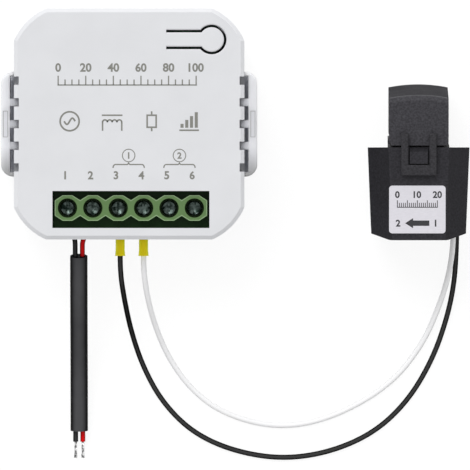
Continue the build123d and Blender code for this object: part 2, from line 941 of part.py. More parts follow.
def chip(x, y, width, depth, height):
    """A flat chip on four rows of legs, standing just off the board."""
    body = cuboid(
        (x - width / 2, x + width / 2),
        (y - depth / 2, y + depth / 2),
        (board_top + chip_stand, board_top + height),
    )
    for side in (-1, 1):
        for i in range(4):
            leg_y = y + (i - 1.5) * depth / 4
            inner = x + side * (width / 2 - 0.3)
            outer = x + side * (width / 2 + chip_leg)
            body += cuboid(
                sorted((inner, outer)), (leg_y - 0.1 * depth, leg_y + 0.1 * depth),
                (board_top, board_top + 2 * chip_stand),
            )
    return body


def bridge_rectifier():
    return chip(varistor_x + 0.5, bridge_y, bridge_width, bridge_depth, bridge_height)


def metering_chip():
    return chip(varistor_x + 0.5, metering_chip_y, chip_size, chip_size, small_part_height)


def burden_resistors():
    """A row of small chip resistors beside the clamp's terminals."""
    chips = []
    y = block_back + 1.6
    for i in range(small_chip_count):
        x = capacitor_x - large_capacitor_radius + (i - 1) * small_chip_pitch
        chips.append(
            cuboid(
                (x - small_chip_length / 2, x + small_chip_length / 2),
                (y - small_chip_depth / 2, y + small_chip_depth / 2),
                (board_top, board_top + 0.5 * small_part_height),
            )
        )
    return Compound(chips)


def ferrule_sleeves():
    """The two coloured sleeves on the clamp leads' ends, a little flared at their outer end."""
    sleeves = []
    for x in (black_sleeve_x, white_sleeve_x):
        flare_start = sleeve_outer_end + sleeve_flare_length
        sleeve = rod_along_y(sleeve_radius, (flare_start, sleeve_inner_end), x, wire_z)
        flare = Pos(x, (sleeve_outer_end + flare_start) / 2, wire_z) * Rot(90, 0, 0) * Cone(
            sleeve_radius, sleeve_radius + sleeve_flare, sleeve_flare_length
        )
        sleeves.append(sleeve + flare)
    return Compound(sleeves)


def ferrule_tubes():
    """The metal ends that the cages press against the contact bars."""
    ends = (sleeve_inner_end, ferrule_inner_end)
    return Compound([rod_along_y(ferrule_radius, ends, x, wire_z) for x in (black_sleeve_x, white_sleeve_x)])


def bend_radii(points):
    """The radius of each bend: 0.45 of the shorter run beside it, over the tangent of half the turn."""
    radii = []
    corners = [Vector(p) for p in points]
    for before, here, after in zip(corners, corners[1:], corners[2:]):
        turn = math.radians((here - before).get_angle(after - here))
        shorter = min((here - before).length, (after - here).length)
        radii.append(0.45 * shorter / math.tan(turn / 2))
    return radii


def tube(name, points, section, radii):
    """A cord's solid: its section carried along straight runs and arcs. Prints how it bends."""
    path = FilletPolyline(*points, radius=radii)
    start = Plane(
        origin=points[0], x_dir=(1, 0, 0), z_dir=Vector(points[1]) - Vector(points[0])
    )
    solid = sweep(start * section, path=path)
    expected = section.area * path.length
    print(
        f"{name}: length {path.length:.1f}, tightest bend {min(radii):.1f}, "
        f"radii {[round(r, 1) for r in radii]}, volume {solid.volume:.2f} for {expected:.2f}"
    )
    return solid


def supply_jacket():
    """The cable's jacket, with a bore for each core."""
    section = Circle(jacket_diameter / 2)
    for side in (-1, 1):
        section -= Pos(side * core_spacing / 2, 0) * Circle(core_diameter / 2 + core_bore_gap)
    return tube("supply_jacket", jacket_route, section, bend_radii(jacket_route))


def supply_core(name, terminal, side):
    """One core: out of its terminal, across into the jacket, through it and out at the far end."""
    x_terminal = terminal_xs[terminal] - side * core_terminal_offset
    x_cable = jacket_x + side * core_spacing / 2
    inside = [(x_cable, y, z) for _, y, z in jacket_route[1:-1]]
    route = [
        (x_terminal, body_low + core_reach, wire_z),
        (x_terminal, body_low + core_bend_near, wire_z),
        (x_cable, body_low - core_bend_far, wire_z),
        (x_cable, body_low - core_droop, wire_z),
        *inside,
        (x_cable, *core_bare_end),
    ]
    radii = bend_radii(route)[:3] + bend_radii(jacket_route)
    return tube(name, route, Circle(core_diameter / 2), radii)


def supply_strands():
    """The bare copper at the cable's far end, as one plain rod for each core."""
    y, z = core_bare_end
    before_y, before_z = jacket_route[-2][1:]
    run = Vector(0, y - before_y, z - before_z).normalized()
    rods = []
    for side in (-1, 1):
        start = Vector(jacket_x + side * core_spacing / 2, y, z)
        section = Plane(origin=start, z_dir=run) * Circle(strand_diameter / 2)
        rods.append(extrude(section, amount=strand_length, dir=run))
    return Compound(rods)


def lead_end(x, z):
    """A lead's last two points: straight into the grommet in the clamp's foot."""
    low = -base_height - grommet_stand
    return [tuple((clamp_place * Pos(x, y, z)).position) for y in (low - lead_exit_run, low)]


def clamp_lead_black():
    route = black_lead_route + lead_end(black_exit_x, black_exit_z)
    return tube("clamp_lead_black", route, Circle(black_lead_diameter / 2), bend_radii(route))


def clamp_lead_white():
    route = white_lead_route + lead_end(white_exit_x, white_exit_z)
    return tube("clamp_lead_white", route, Circle(white_lead_diameter / 2), bend_radii(route))


def base_section(y, inset):
    """The clamp base's outline at one height, drawn in by inset: its front corners are cut at 45 degrees."""
    share = -y / base_height
    half = (base_top_width + (base_bottom_width - base_top_width) * share) / 2 - inset
    back = clamp_back + inset
    front = base_front - inset
    front_cut = base_front_chamfer - inset * (2 - math.sqrt(2))
    back_cut = base_back_chamfer - 0.5 * inset
    corners = [
        (half, back + back_cut),
        (half, front - front_cut),
        (half - front_cut, front),
        (-half + front_cut, front),
        (-half, front - front_cut),
        (-half, back + back_cut),
        (-half + back_cut, back),
        (half - back_cut, back),
    ]
    return Wire.make_polygon([Vector(x, y, z) for x, z in corners], close=True)


def base_form(y_high, y_low, inset):
    """The clamp base's tapering form between two heights."""
    return Solid.make_loft([base_section(y_high, inset), base_section(y_low, inset)], ruled=True)


def knuckle_ranges(owner):
    """The hinge knuckles of the base, owner 0, or of the cap, owner 1, as ranges along X."""
    length = hinge_length / knuckle_count
    start = -hinge_length / 2
    return [
        (start + i * length + knuckle_gap / 2, start + (i + 1) * length - knuckle_gap / 2)
        for i in range(owner, knuckle_count, 2)
    ]


def add_knuckles(half_shell, owner, bore):
    """Gives one half of the clamp its hinge knuckles, and room for the other half's."""
    web_end = web_height if owner else -web_height
    for low, high in knuckle_ranges(1 - owner):
        half_shell -= rod_along_x(
            barrel_radius + knuckle_clearance, (low - knuckle_gap, high + knuckle_gap), 0, barrel_z
        )
    for x_range in knuckle_ranges(owner):
        half_shell += rod_along_x(barrel_radius, x_range, 0, barrel_z)
        half_shell += cuboid(x_range, sorted((0, web_end)), (barrel_z, clamp_back + 0.1))
        half_shell -= rod_along_x(bore, (x_range[0] - 1, x_range[1] + 1), 0, barrel_z)
    return half_shell


def shoulder_cuts(inset):
    """What is cut off the base beside the cap, so that its shoulders lie level as the clamp is tipped."""
    slope = math.tan(tip_angle)
    top = -parting_gap - inset
    front = base_front + 1
    back = clamp_back - 1
    section = [(top + slope, front), (1, front), (1, back), (top - slope * (base_front - back), back)]
    near = cap_width / 2 + shoulder_gap - inset
    return [
        polygon_prism(section, sorted((side * near, side * base_top_width))) for side in (-1, 1)
    ]


def clamp_base():
    foot_top = -base_height + foot_thickness
    shell = base_form(-parting_gap, foot_top, 0)
    cavity = base_form(-parting_gap - base_wall, foot_top - 1, base_wall)
    cavity -= rod_along_x(hole_radius + base_channel_wall, (-base_top_width, base_top_width), 0, 0)
    cavity -= shoulder_cuts(base_wall)
    shell -= cavity
    shell -= shoulder_cuts(0)
    shell -= rod_along_x(hole_radius, (-base_top_width, base_top_width), 0, 0)
    leg_half = core_width / 2 + core_gap
    for side in (-1, 1):
        ends = sorted((side * (core_leg_start - core_gap), side * (core_leg_end + core_gap)))
        shell -= cuboid((-leg_half, leg_half), (-base_height, 1), ends)
    catch_top = -parting_gap - 0.5 * catch_gap
    catch_low = catch_top - catch_height
    catch = [
        (catch_top, base_front - 0.5),
        (catch_top, base_front + catch_depth - catch_ramp),
        (catch_top - catch_ramp, base_front + catch_depth),
        (catch_low, base_front + catch_depth),
        (catch_low, base_front - 0.5),
    ]
    shell += polygon_prism(catch, (-catch_width / 2, catch_width / 2))
    shell -= grommet_form(grommet_clearance)
    return add_knuckles(shell, 0, hinge_pin_radius + pin_fit)


def clamp_foot():
    """The cover that closes the clamp base, with ribs that hold the lower core up."""
    foot_top = -base_height + foot_thickness
    foot = base_form(foot_top, -base_height, 0)
    flat_half = base_bottom_width / 2 - base_corner_run + 0.5
    for side in (-1, 1):
        corner = [
            Vector(side * flat_half, -base_height, clamp_back - 1),
            Vector(side * (flat_half + 1.25 * base_corner_run), -base_height, clamp_back - 1),
            Vector(
                side * (flat_half + 1.25 * base_corner_run),
                -base_height + 1.25 * base_corner_rise,
                clamp_back - 1,
            ),
        ]
        wedge = Face(Wire.make_polygon(corner, close=True))
        foot -= extrude(wedge, amount=clamp_depth + 2, dir=(0, 0, 1))
    yoke_bottom = -lower_yoke_drop - lower_yoke
    middle = (core_leg_start + core_leg_end) / 2
    for side in (-1, 1):
        foot += cuboid(
            (-rib_width / 2, rib_width / 2),
            (foot_top - 0.5 * foot_thickness, yoke_bottom),
            (side * middle - rib_depth / 2, side * middle + rib_depth / 2),
        )
    return foot - grommet_form(grommet_clearance)


def grommet_form(gap):
    """The lead grommet's outer form, or the hole for it when gap is more than nothing."""
    x = (black_exit_x + white_exit_x) / 2
    z = (black_exit_z + white_exit_z) / 2
    half_x = grommet_width / 2 + gap
    half_z = grommet_depth / 2 + gap
    low = -base_height - grommet_stand - gap
    high = -base_height + foot_thickness + grommet_inside + gap
    form = cuboid((x - half_x, x + half_x), (low, high), (z - half_z, z + half_z))
    return fillet(form.edges().filter_by(Axis.Y), 0.4 * grommet_width)


def clamp_cap():
    half = cap_width / 2
    shoulder = cap_height - cap_crown
    low = parting_gap
    sides = [
        Line((half, low + cap_corner, clamp_back), (half - cap_corner, low, clamp_back)),
        Line((half - cap_corner, low, clamp_back), (-half + cap_corner, low, clamp_back)),
        Line((-half + cap_corner, low, clamp_back), (-half, low + cap_corner, clamp_back)),
        Line((-half, low + cap_corner, clamp_back), (-half, shoulder, clamp_back)),
        ThreePointArc(
            (-half, shoulder, clamp_back), (0, cap_height, clamp_back), (half, shoulder, clamp_back)
        ),
        Line((half, shoulder, clamp_back), (half, low + cap_corner, clamp_back)),
    ]
    outline = Wire(sides)
    shell = extrude(Face(outline), amount=clamp_depth, dir=(0, 0, 1))
    front_top = shell.edges().filter_by(GeomType.CIRCLE).sort_by(Axis.Z)[-1:]
    shell = fillet(front_top, cap_front_round)
    pocket_half = core_width / 2 + core_gap
    cavity = cuboid(
        (-pocket_half, pocket_half),
        (0, cap_cavity_top()),
        (-core_leg_end - core_gap, core_leg_end + core_gap),
    )
    cavity -= rod_along_x(hole_radius + cap_channel_wall, (-cap_width, cap_width), 0, 0)
    shell -= cavity
    shell -= rod_along_x(hole_radius, (-cap_width, cap_width), 0, 0)
    return add_knuckles(shell, 1, hinge_pin_radius + pin_running_gap)


def cap_cavity_top():
    """The height of the cap's ceiling over the core spring."""
    return cap_height - cap_roof


def latch_loop():
    """Two legs on the cap's front and a bar between them that snaps under the base's catch."""
    half = loop_width / 2
    front = clamp_front + loop_thickness
    loop = cuboid((-half, half), (loop_bottom, loop_top), (clamp_front, front))
    loop -= cuboid(
        (-half + loop_leg, half - loop_leg),
        (loop_bottom + loop_bar, loop_top + 1),
        (clamp_front - 1, front + 1),
    )
    loop = chamfer(loop.faces().sort_by(Axis.Z)[-1].edges(), 0.2)
    return loop


def hinge_pin():
    half = hinge_length / 2
    return rod_along_x(hinge_pin_radius, (-half, half), 0, barrel_z)


def core_legs(y_range):
    """The two legs of a U-shaped core, one in front of the hole and one behind it."""
    half = core_width / 2
    front = cuboid((-half, half), y_range, (core_leg_start, core_leg_end))
    back = cuboid((-half, half), y_range, (-core_leg_end, -core_leg_start))
    return front, back


def lower_core():
    half = core_width / 2
    bottom = -lower_yoke_drop - lower_yoke
    front, back = core_legs((bottom, 0))
    yoke = cuboid((-half, half), (bottom, -lower_yoke_drop), (-core_leg_start, core_leg_start))
    return front + back + yoke


def upper_core():
    half = core_width / 2
    yoke_bottom = hole_radius + cap_channel_wall + core_gap
    top = yoke_bottom + upper_yoke
    front, back = core_legs((0, top))
    yoke = cuboid((-half, half), (yoke_bottom, top), (-core_leg_start, core_leg_start))
    return front + back + yoke


def core_spring():
    """A bowed leaf between the cap's ceiling and the upper core, which presses the pole faces together."""
    low = hole_radius + cap_channel_wall + core_gap + upper_yoke
    high = cap_cavity_top()
    reach = 0.75 * core_leg_end
    half = spring_leaf_width / 2
    edges = [
        Line((-half, low, -reach), (-half, low + spring_leaf, -reach)),
        ThreePointArc(
            (-half, low + spring_leaf, -reach), (-half, high, 0), (-half, low + spring_leaf, reach)
        ),
        Line((-half, low + spring_leaf, reach), (-half, low, reach)),
        ThreePointArc((-half, low, reach), (-half, high - spring_leaf, 0), (-half, low, -reach)),
    ]
    return extrude(Face(Wire(edges)), amount=spring_leaf_width, dir=(1, 0, 0))


def bobbin_sizes():
    """The bobbin's half length, and the half sizes of its tube outside the yoke."""
    length = core_leg_start - bobbin_end_gap
    tube_x = core_width / 2 + bobbin_gap + bobbin_wall
    tube_y = lower_yoke / 2 + bobbin_gap + bobbin_wall
    return length, tube_x, tube_y


def winding_bobbin():
    length, tube_x, tube_y = bobbin_sizes()
    middle = -lower_yoke_drop - lower_yoke / 2
    flange_x = tube_x + winding_thickness + winding_flange_rim
    flange_y = tube_y + winding_thickness + winding_flange_rim
    bobbin = cuboid((-tube_x, tube_x), (middle - tube_y, middle + tube_y), (-length, length))
    for side in (-1, 1):
        ends = sorted((side * length, side * (length - bobbin_flange)))
        bobbin += cuboid((-flange_x, flange_x), (middle - flange_y, middle + flange_y), ends)
    hole_x = core_width / 2 + bobbin_gap
    hole_y = lower_yoke / 2 + bobbin_gap
    return bobbin - cuboid((-hole_x, hole_x), (middle - hole_y, middle + hole_y), (-length - 1, length + 1))


def winding():
    length, tube_x, tube_y = bobbin_sizes()
    middle = -lower_yoke_drop - lower_yoke / 2
    outer_x = tube_x + winding_thickness
    outer_y = tube_y + winding_thickness
    half = length - bobbin_flange
    coil = cuboid((-outer_x, outer_x), (middle - outer_y, middle + outer_y), (-half, half))
    coil = fillet(coil.edges().filter_by(Axis.Z), 0.9 * winding_thickness)
    return coil - cuboid((-tube_x, tube_x), (middle - tube_y, middle + tube_y), (-half - 1, half + 1))


def direction_label():
    plate = Pos(label_x, label_y, base_front) * extrude(
        RectangleRounded(label_width, label_height, label_corner), label_thickness
    )
    return plate


def lead_grommet():
    """A soft bush in the clamp's foot, where the leads go in."""
    return grommet_form(0)


os.makedirs("parts", exist_ok=True)

module_nodes = {
    "front_cover": front_cover(),
    "button_tongue": button_tongue(),
    "rear_housing": rear_housing(),
    "rail_bracket": rail_bracket(),
    "rail_latch": rail_latch(),
    "latch_spring": latch_spring(),
    "main_board": main_board(),
    "terminal_block": terminal_block(),
    "contact_bars": contact_bars(),
    "tact_switch": tact_switch(),
    "tact_plunger": tact_plunger(),
    "status_led": status_led(),
    "radio_board": radio_board(),
    "radio_shield": radio_shield(),
    "supply_transformer": supply_transformer(),
    "supply_capacitors": supply_capacitors(),
    "surge_varistor": surge_varistor(),
    "fuse_resistor": fuse_resistor(),
    "bridge_rectifier": bridge_rectifier(),
    "metering_chip": metering_chip(),
    "burden_resistors": burden_resistors(),
    "ferrule_sleeves": ferrule_sleeves(),
    "ferrule_tubes": ferrule_tubes(),
    "supply_jacket": supply_jacket(),
    "supply_core_black": supply_core("supply_core_black", 0, -1),
    "supply_core_red": supply_core("supply_core_red", 1, 1),
    "supply_strands": supply_strands(),
    "clamp_lead_black": clamp_lead_black(),
    "clamp_lead_white": clamp_lead_white(),
}
for number, x in enumerate(terminal_xs, start=1):
    module_nodes[f"terminal_screw_{number}"] = terminal_screw(x)
    module_nodes[f"terminal_cage_{number}"] = terminal_cage(x)

clamp_nodes = {
    "clamp_base": clamp_base(),
    "clamp_foot": clamp_foot(),
    "clamp_cap": clamp_cap(),
    "latch_loop": latch_loop(),
    "hinge_pin": hinge_pin(),
    "lower_core": lower_core(),
    "upper_core": upper_core(),
    "core_spring": core_spring(),
    "winding_bobbin": winding_bobbin(),
    "winding": winding(),
    "direction_label": direction_label(),
    "lead_grommet": lead_grommet(),
}

for node, shape in module_nodes.items():
    export_step(shape, f"parts/{node}.step")
for node, shape in clamp_nodes.items():
    export_step(clamp_place * shape, f"parts/{node}.step")

print(f"clamp at z {clamp_z:.3f}, tipped {math.degrees(tip_angle):.3f} degrees")
print(f"button angle {button_angle:.3f} degrees, wires at z {wire_z:.3f}, face at z {face_z:.3f}")
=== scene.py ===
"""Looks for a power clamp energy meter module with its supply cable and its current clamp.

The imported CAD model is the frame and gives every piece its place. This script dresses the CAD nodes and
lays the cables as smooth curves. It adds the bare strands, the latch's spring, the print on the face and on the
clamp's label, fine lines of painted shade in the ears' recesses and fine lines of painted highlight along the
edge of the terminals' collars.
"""

import json
import logging
import math
from dataclasses import dataclass, replace
from enum import Enum

import bpy
import numpy as np
from mathutils import Matrix, Vector


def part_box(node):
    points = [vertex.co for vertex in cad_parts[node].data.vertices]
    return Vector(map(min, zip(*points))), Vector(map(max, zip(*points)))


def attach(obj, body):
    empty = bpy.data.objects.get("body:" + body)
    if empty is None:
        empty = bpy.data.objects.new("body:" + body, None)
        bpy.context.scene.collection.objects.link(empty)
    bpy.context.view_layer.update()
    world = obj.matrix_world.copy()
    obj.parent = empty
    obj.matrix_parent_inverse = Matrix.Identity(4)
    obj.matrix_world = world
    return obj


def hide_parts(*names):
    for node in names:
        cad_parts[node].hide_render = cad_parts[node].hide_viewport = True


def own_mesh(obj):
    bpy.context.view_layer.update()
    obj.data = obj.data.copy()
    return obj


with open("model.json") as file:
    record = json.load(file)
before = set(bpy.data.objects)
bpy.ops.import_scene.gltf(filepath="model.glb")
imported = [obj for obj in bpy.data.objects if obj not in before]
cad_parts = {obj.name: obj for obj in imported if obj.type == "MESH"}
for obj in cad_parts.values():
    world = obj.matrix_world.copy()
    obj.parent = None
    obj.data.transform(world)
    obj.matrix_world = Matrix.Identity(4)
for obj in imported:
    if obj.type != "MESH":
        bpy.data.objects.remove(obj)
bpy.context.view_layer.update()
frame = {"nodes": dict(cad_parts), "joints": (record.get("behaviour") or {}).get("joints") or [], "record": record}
MM = 0.001
LOG = logging.getLogger("meter_module")

Colour = tuple[float, float, float]
Point = tuple[float, float, float]
Place = tuple[float, float]
Shape = tuple[np.ndarray, list[list[int]]]
Socket = bpy.types.NodeSocket
Feed = Socket | float | tuple[float, ...] | None

WHITE: Colour = (1.0, 1.0, 1.0)
# Every added piece is on the casing, the cables or the clamp's base, and they are one body.
BASE_BODY = "root"
# The row of terminals, and the height at which wires enter it, in millimetres as the cables' routes are.
TERMINALS = 6
TERMINAL_PITCH = 5.08 * MM
WIRE_HEIGHT = 13.75
# Edges that turn more than this stay sharp.
SHARP_ANGLE = math.radians(35)
# Nearly all the values of a noise pattern lie between these.
NOISE_LOW, NOISE_HIGH = 0.3, 0.7
# A wave texture's sine turns by this, times its scale, in each metre.
WAVE_RATE = 20.0


def srgb(red: float, green: float, blue: float) -> Colour:
    """A colour given as 0 to 255 screen values, as linear light.

    Formula: v / 12.92 below 0.04045, else ((v + 0.055) / 1.055) to the power 2.4, with v from 0 to 1.

    Args:
        red: Red, 0 to 255.
        green: Green, 0 to 255.
        blue: Blue, 0 to 255.

    Returns:
        The linear red, green and blue.
    """
    share = np.array([red, green, blue]) / 255.0
    linear = np.where(share <= 0.04045, share / 12.92, ((share + 0.055) / 1.055) ** 2.4)
    return tuple(float(v) for v in linear)


def grey(level: float) -> tuple[float, ...]:
    """An opaque grey, as a shader's colour socket takes it."""
    return (level,) * 3 + (1.0,)


def shaded(colour: Colour, factor: float) -> Colour:
    """The colour with its light times factor, kept at 1 or less."""
    return tuple(min(1.0, c * factor) for c in colour)


def middle_of(node: str) -> np.ndarray:
    """The middle of a CAD node's box at rest."""
    return np.array(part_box(node)).mean(axis=0)


def screw_middles() -> list[np.ndarray]:
    """The middles of the terminal screws, from left to right."""
    return [middle_of(f"terminal_screw_{number}") for number in range(1, TERMINALS + 1)]


class FarEnd(Enum):
    """What a cable's far end is."""

    BARE = "bare"
    OBJECT = "object"


class Stiffness(Enum):
    """How stiff a cable is."""

    LIMP = "limp"
    MEDIUM = "medium"
    STIFF = "stiff"


class NodeGraph:
    """A shader's nodes, added one at a time to an empty tree."""

    def __init__(self, tree: bpy.types.NodeTree) -> None:
        """Empties the tree."""
        self.nodes = tree.nodes
        self.links = tree.links
        self.nodes.clear()

    def feed(self, node: bpy.types.Node, *ordered: Feed, **named: Feed) -> None:
        """Gives inputs of a node a link or a value each.

        Args:
            node: The node.
            ordered: What feeds its inputs in their order.
            named: What feeds its inputs by name, with underscores for the blanks, or None to leave one.
        """
        sockets = [*node.inputs[: len(ordered)], *(node.inputs[name.replace("_", " ")] for name in named)]
        for socket, feed in zip(sockets, (*ordered, *named.values())):
            if isinstance(feed, Socket):
                self.links.new(feed, socket)
            elif feed is not None:
                socket.default_value = feed

    def add(self, kind: str, *ordered: Feed, operation: str | None = None, **named: Feed) -> bpy.types.Node:
        """Adds a node.

        Args:
            kind: Its type, without the word that all shader nodes start with.
            ordered: What feeds its inputs in their order.
            operation: What a node for arithmetic does.
            named: What feeds its inputs by name.

        Returns:
            The node.
        """
        node = self.nodes.new(f"ShaderNode{kind}")
        if operation is not None:
            node.operation = operation
        self.feed(node, *ordered, **named)
        return node

    def larger(self, first: Socket, second: Socket) -> Socket:
        """The larger of two numbers."""
        return self.add("Math", first, second, operation="MAXIMUM").outputs["Value"]


class FinishGraph(NodeGraph):
    """One material's nodes around a Principled shader, with the patterns that finishes are made of."""

    def __init__(self, name: str) -> None:
        """Starts a material with a Principled shader and the object's own coordinates."""
        self.material = bpy.data.materials.new(name)
        self.material.use_nodes = True
        super().__init__(self.material.node_tree)
        self.shader = self.add("BsdfPrincipled")
        self.add("OutputMaterial", Surface=self.shader.outputs["BSDF"])
        coordinates = self.add("TexCoord")
        self.place = coordinates.outputs["Object"]
        self.outward = coordinates.outputs["Normal"]
        self.normal: Socket | None = None

    def plain(self, **feeds: Feed) -> None:
        """Feeds the shader's own sockets, with underscores for the blanks in their names."""
        self.feed(self.shader, **feeds)

    def noise(self, size: float, detail: float = 2.0, stretch: Point = (1.0, 1.0, 1.0)) -> Socket:
        """A cloudy pattern.

        Args:
            size: How wide its blobs are, in metres.
            detail: How many finer layers it has.
            stretch: How much longer the blobs are along X, Y and Z.

        Returns:
            The pattern's value, from 0 to 1.
        """
        mapping = self.add("Mapping", Vector=self.place, Scale=tuple(1.0 / s for s in stretch))
        pattern = self.add("TexNoise", Vector=mapping.outputs["Vector"], Scale=1.0 / size, Detail=detail)
        return pattern.outputs["Fac"]

    def bands(self, size: float, axis: str) -> Socket:
        """Even bands across one axis.

        Args:
            size: The bands' spacing, in metres.
            axis: X, Y or Z.

        Returns:
            The pattern's value, from 0 to 1.
        """
        pattern = self.add("TexWave", Vector=self.place, Scale=2 * math.pi / (WAVE_RATE * size))
        pattern.wave_type = "BANDS"
        pattern.bands_direction = axis
        return pattern.outputs["Fac"]

    def tracks(self, size: float, row: float, width: float) -> Socket:
        """Thin straight lines between blocks, as on a printed circuit.

        Args:
            size: The blocks' length, in metres.
            row: The blocks' width, as a share of their length.
            width: The lines' width, as a share of the blocks' length.

        Returns:
            1 on the lines and 0 on the blocks.
        """
        shares = {"Mortar_Size": width, "Brick_Width": 1.0, "Row_Height": row}
        return self.add("TexBrick", Vector=self.place, Scale=1.0 / size, **shares).outputs["Fac"]

    def along(self, axis: str, low: float, high: float) -> Socket:
        """The place along an axis of the shared frame.

        Args:
            axis: X, Y or Z.
            low: Where the result is 0.
            high: Where it is 1.

        Returns:
            The place between the two, from 0 to 1.
        """
        parts = self.add("SeparateXYZ", self.place)
        spread = self.add("MapRange", Value=parts.outputs[axis], From_Min=low, From_Max=high)
        return spread.outputs["Result"]

    def bowls(self, first: Point, pitch: float, radius: float) -> Socket:
        """A bowl around each upright axis of a row along X.

        Formula: the distance to the nearest axis, over the radius, squared.

        Args:
            first: A point on the first axis.
            pitch: From axis to axis.
            radius: How far out the bowl reaches its full height.

        Returns:
            0 on an axis and 1 at the radius.
        """
        flat, from_first = (1.0, 1.0, 0.0), (-first[0], -first[1], 0.0)
        away = self.add("VectorMath", self.place, flat, from_first, operation="MULTIPLY_ADD")
        nearest = (pitch / 2, 1.0, 1.0), (-pitch / 2, -1.0, -1.0)
        wrapped = self.add("VectorMath", away.outputs["Vector"], *nearest, operation="WRAP")
        offset = wrapped.outputs["Vector"]
        square = self.add("VectorMath", offset, offset, operation="DOT_PRODUCT")
        return self.add("Math", square.outputs["Value"], radius**2, operation="DIVIDE").outputs["Value"]

    def upward(self, pattern: Socket, share: float) -> Socket:
        """How far the surface faces up in the shared frame, with a pattern's share added.

        Args:
            pattern: The pattern, from 0 to 1.
            share: How much of it is added.

        Returns:
            About 0 on a flank and 1 on top.
        """
        parts = self.add("SeparateXYZ", self.outward)
        total = self.add("Math", pattern, share, parts.outputs["Z"], operation="MULTIPLY_ADD")
        return total.outputs["Value"]

    def ramp(self, value: Socket, stops: dict[float, Colour]) -> Socket:
        """Turns a pattern into colours.

        Args:
            value: The pattern.
            stops: The pattern's values and their colours, lowest value first.

        Returns:
            The colour.
        """
        ramp = self.add("ValToRGB", Fac=value)
        elements = ramp.color_ramp.elements
        while len(elements) < len(stops):
            elements.new(1.0)
        for element, (position, colour) in zip(elements, stops.items()):
            element.position, element.color = position, (*colour, 1.0)
        return ramp.outputs["Color"]

    def colours(
        self, value: Socket, first: Colour, second: Colour, low: float = 0.35, high: float = 0.65
    ) -> None:
        """Runs the base colour from one colour, up to the pattern's low, to another, from its high."""
        self.plain(Base_Color=self.ramp(value, {low: first, high: second}))

    def speckle(self, size: float, depth: float, low: float = 0.32, high: float = 0.68) -> None:
        """Darkens the base colour in fine speckles.

        Args:
            size: How wide the speckles are, in metres.
            depth: The share of the light that the darkest ones take.
            low: The noise's value where they are darkest.
            high: Its value where they end.
        """
        light = self.ramp(self.noise(size, detail=3.0), {low: shaded(WHITE, 1 - depth), high: WHITE})
        base = self.shader.inputs["Base Color"].links[0].from_socket
        self.plain(Base_Color=self.add("VectorMath", base, light, operation="MULTIPLY").outputs["Vector"])

    def drift(self, value: Socket, socket: str, low: float, high: float) -> None:
        """Lets a pattern move one of the shader's numbers between two ends.

        Args:
            value: The pattern.
            socket: The shader's socket, with underscores for the blanks in its name.
            low: The number where the pattern is low.
            high: The number where it is high.
        """
        ends = {"From_Min": NOISE_LOW, "From_Max": NOISE_HIGH, "To_Min": low, "To_Max": high}
        self.plain(**{socket: self.add("MapRange", Value=value, **ends).outputs["Result"]})

    def relief(self, value: Socket, depth: float, strength: float = 1.0) -> None:
        """Adds a pattern to the surface's relief.

        Args:
            value: The pattern.
            depth: How high it stands, in metres.
            strength: The share of it that shows.
        """
        bump = self.add("Bump", Height=value, Distance=depth, Strength=strength, Normal=self.normal)
        self.normal = bump.outputs["Normal"]
        self.plain(Normal=self.normal)


@dataclass(frozen=True)
class Finish:
    """A surface finish, made into a material the first time that a piece asks for it."""

    name: str
    colour: Colour

    def material(self) -> bpy.types.Material:
        """Finds the finish's material, or makes it.

        Returns:
            The material.
        """
        found = bpy.data.materials.get(self.name)
        if found is None:
            graph = FinishGraph(self.name)
            self.paint(graph)
            found = graph.material
        return found

    def paint(self, graph: FinishGraph) -> None:
        """Adds the finish's patterns and numbers to the graph."""
        raise NotImplementedError


@dataclass(frozen=True)
class MouldedPlastic(Finish):
    """Moulded plastic: faint clouds in its colour and gloss, and the fine grain of an eroded mould.

    Milkiness is the share of the light that goes into the plastic, to about the milk depth, and speckled
    is the share that fine speckles take.
    """

    roughness: float = 0.42
    smoother: float = 0.03
    duller: float = 0.04
    clouds: float = 0.015
    cloud_size: float = 7 * MM
    grain_size: float = 0.16 * MM
    grain_depth: float = 0.008 * MM
    specular: float = 0.5
    milkiness: float = 0.0
    milk_depth: float = 3.0 * MM
    speckled: float = 0.0

    def paint(self, graph: FinishGraph) -> None:
        """Clouds move the colour and the roughness, and a fine noise is the grain.

        Args:
            graph: The material's nodes.
        """
        cloud = graph.noise(self.cloud_size, detail=3.0)
        self.tint(graph, cloud)
        if self.speckled:
            graph.speckle(self.grain_size, self.speckled)
        graph.drift(cloud, "Roughness", self.roughness - self.smoother, self.roughness + self.duller)
        graph.relief(graph.noise(self.grain_size), self.grain_depth)
        graph.plain(
            Specular_IOR_Level=self.specular,
            Subsurface_Weight=self.milkiness,
            Subsurface_Scale=self.milk_depth,
            Subsurface_Radius=WHITE,
        )

    def tint(self, graph: FinishGraph, cloud: Socket) -> None:
        """The base colour, which is a little darker and lighter in the clouds."""
        graph.colours(cloud, shaded(self.colour, 1 - self.clouds), shaded(self.colour, 1 + self.clouds))


@dataclass(frozen=True)
class LevelledPlastic(MouldedPlastic):
    """Moulded plastic whose colour and gloss change with height, as painted shade at some heights."""

    levels: tuple[tuple[float, Colour], ...] = ()
    low_specular: float = 0.5

    def tint(self, graph: FinishGraph, cloud: Socket) -> None:
        """The base colour runs from level to level, and the gloss between the lowest and the highest.

        Args:
            graph: The material's nodes.
            cloud: The plastic's clouds, which show in its roughness only.
        """
        low, high = self.levels[0][0], self.levels[-1][0]
        height = graph.along("Z", low, high)
        stops = {(level - low) / (high - low): colour for level, colour in self.levels}
        graph.plain(Base_Color=graph.ramp(height, stops))
        graph.drift(height, "Specular_IOR_Level", self.low_specular, self.specular)


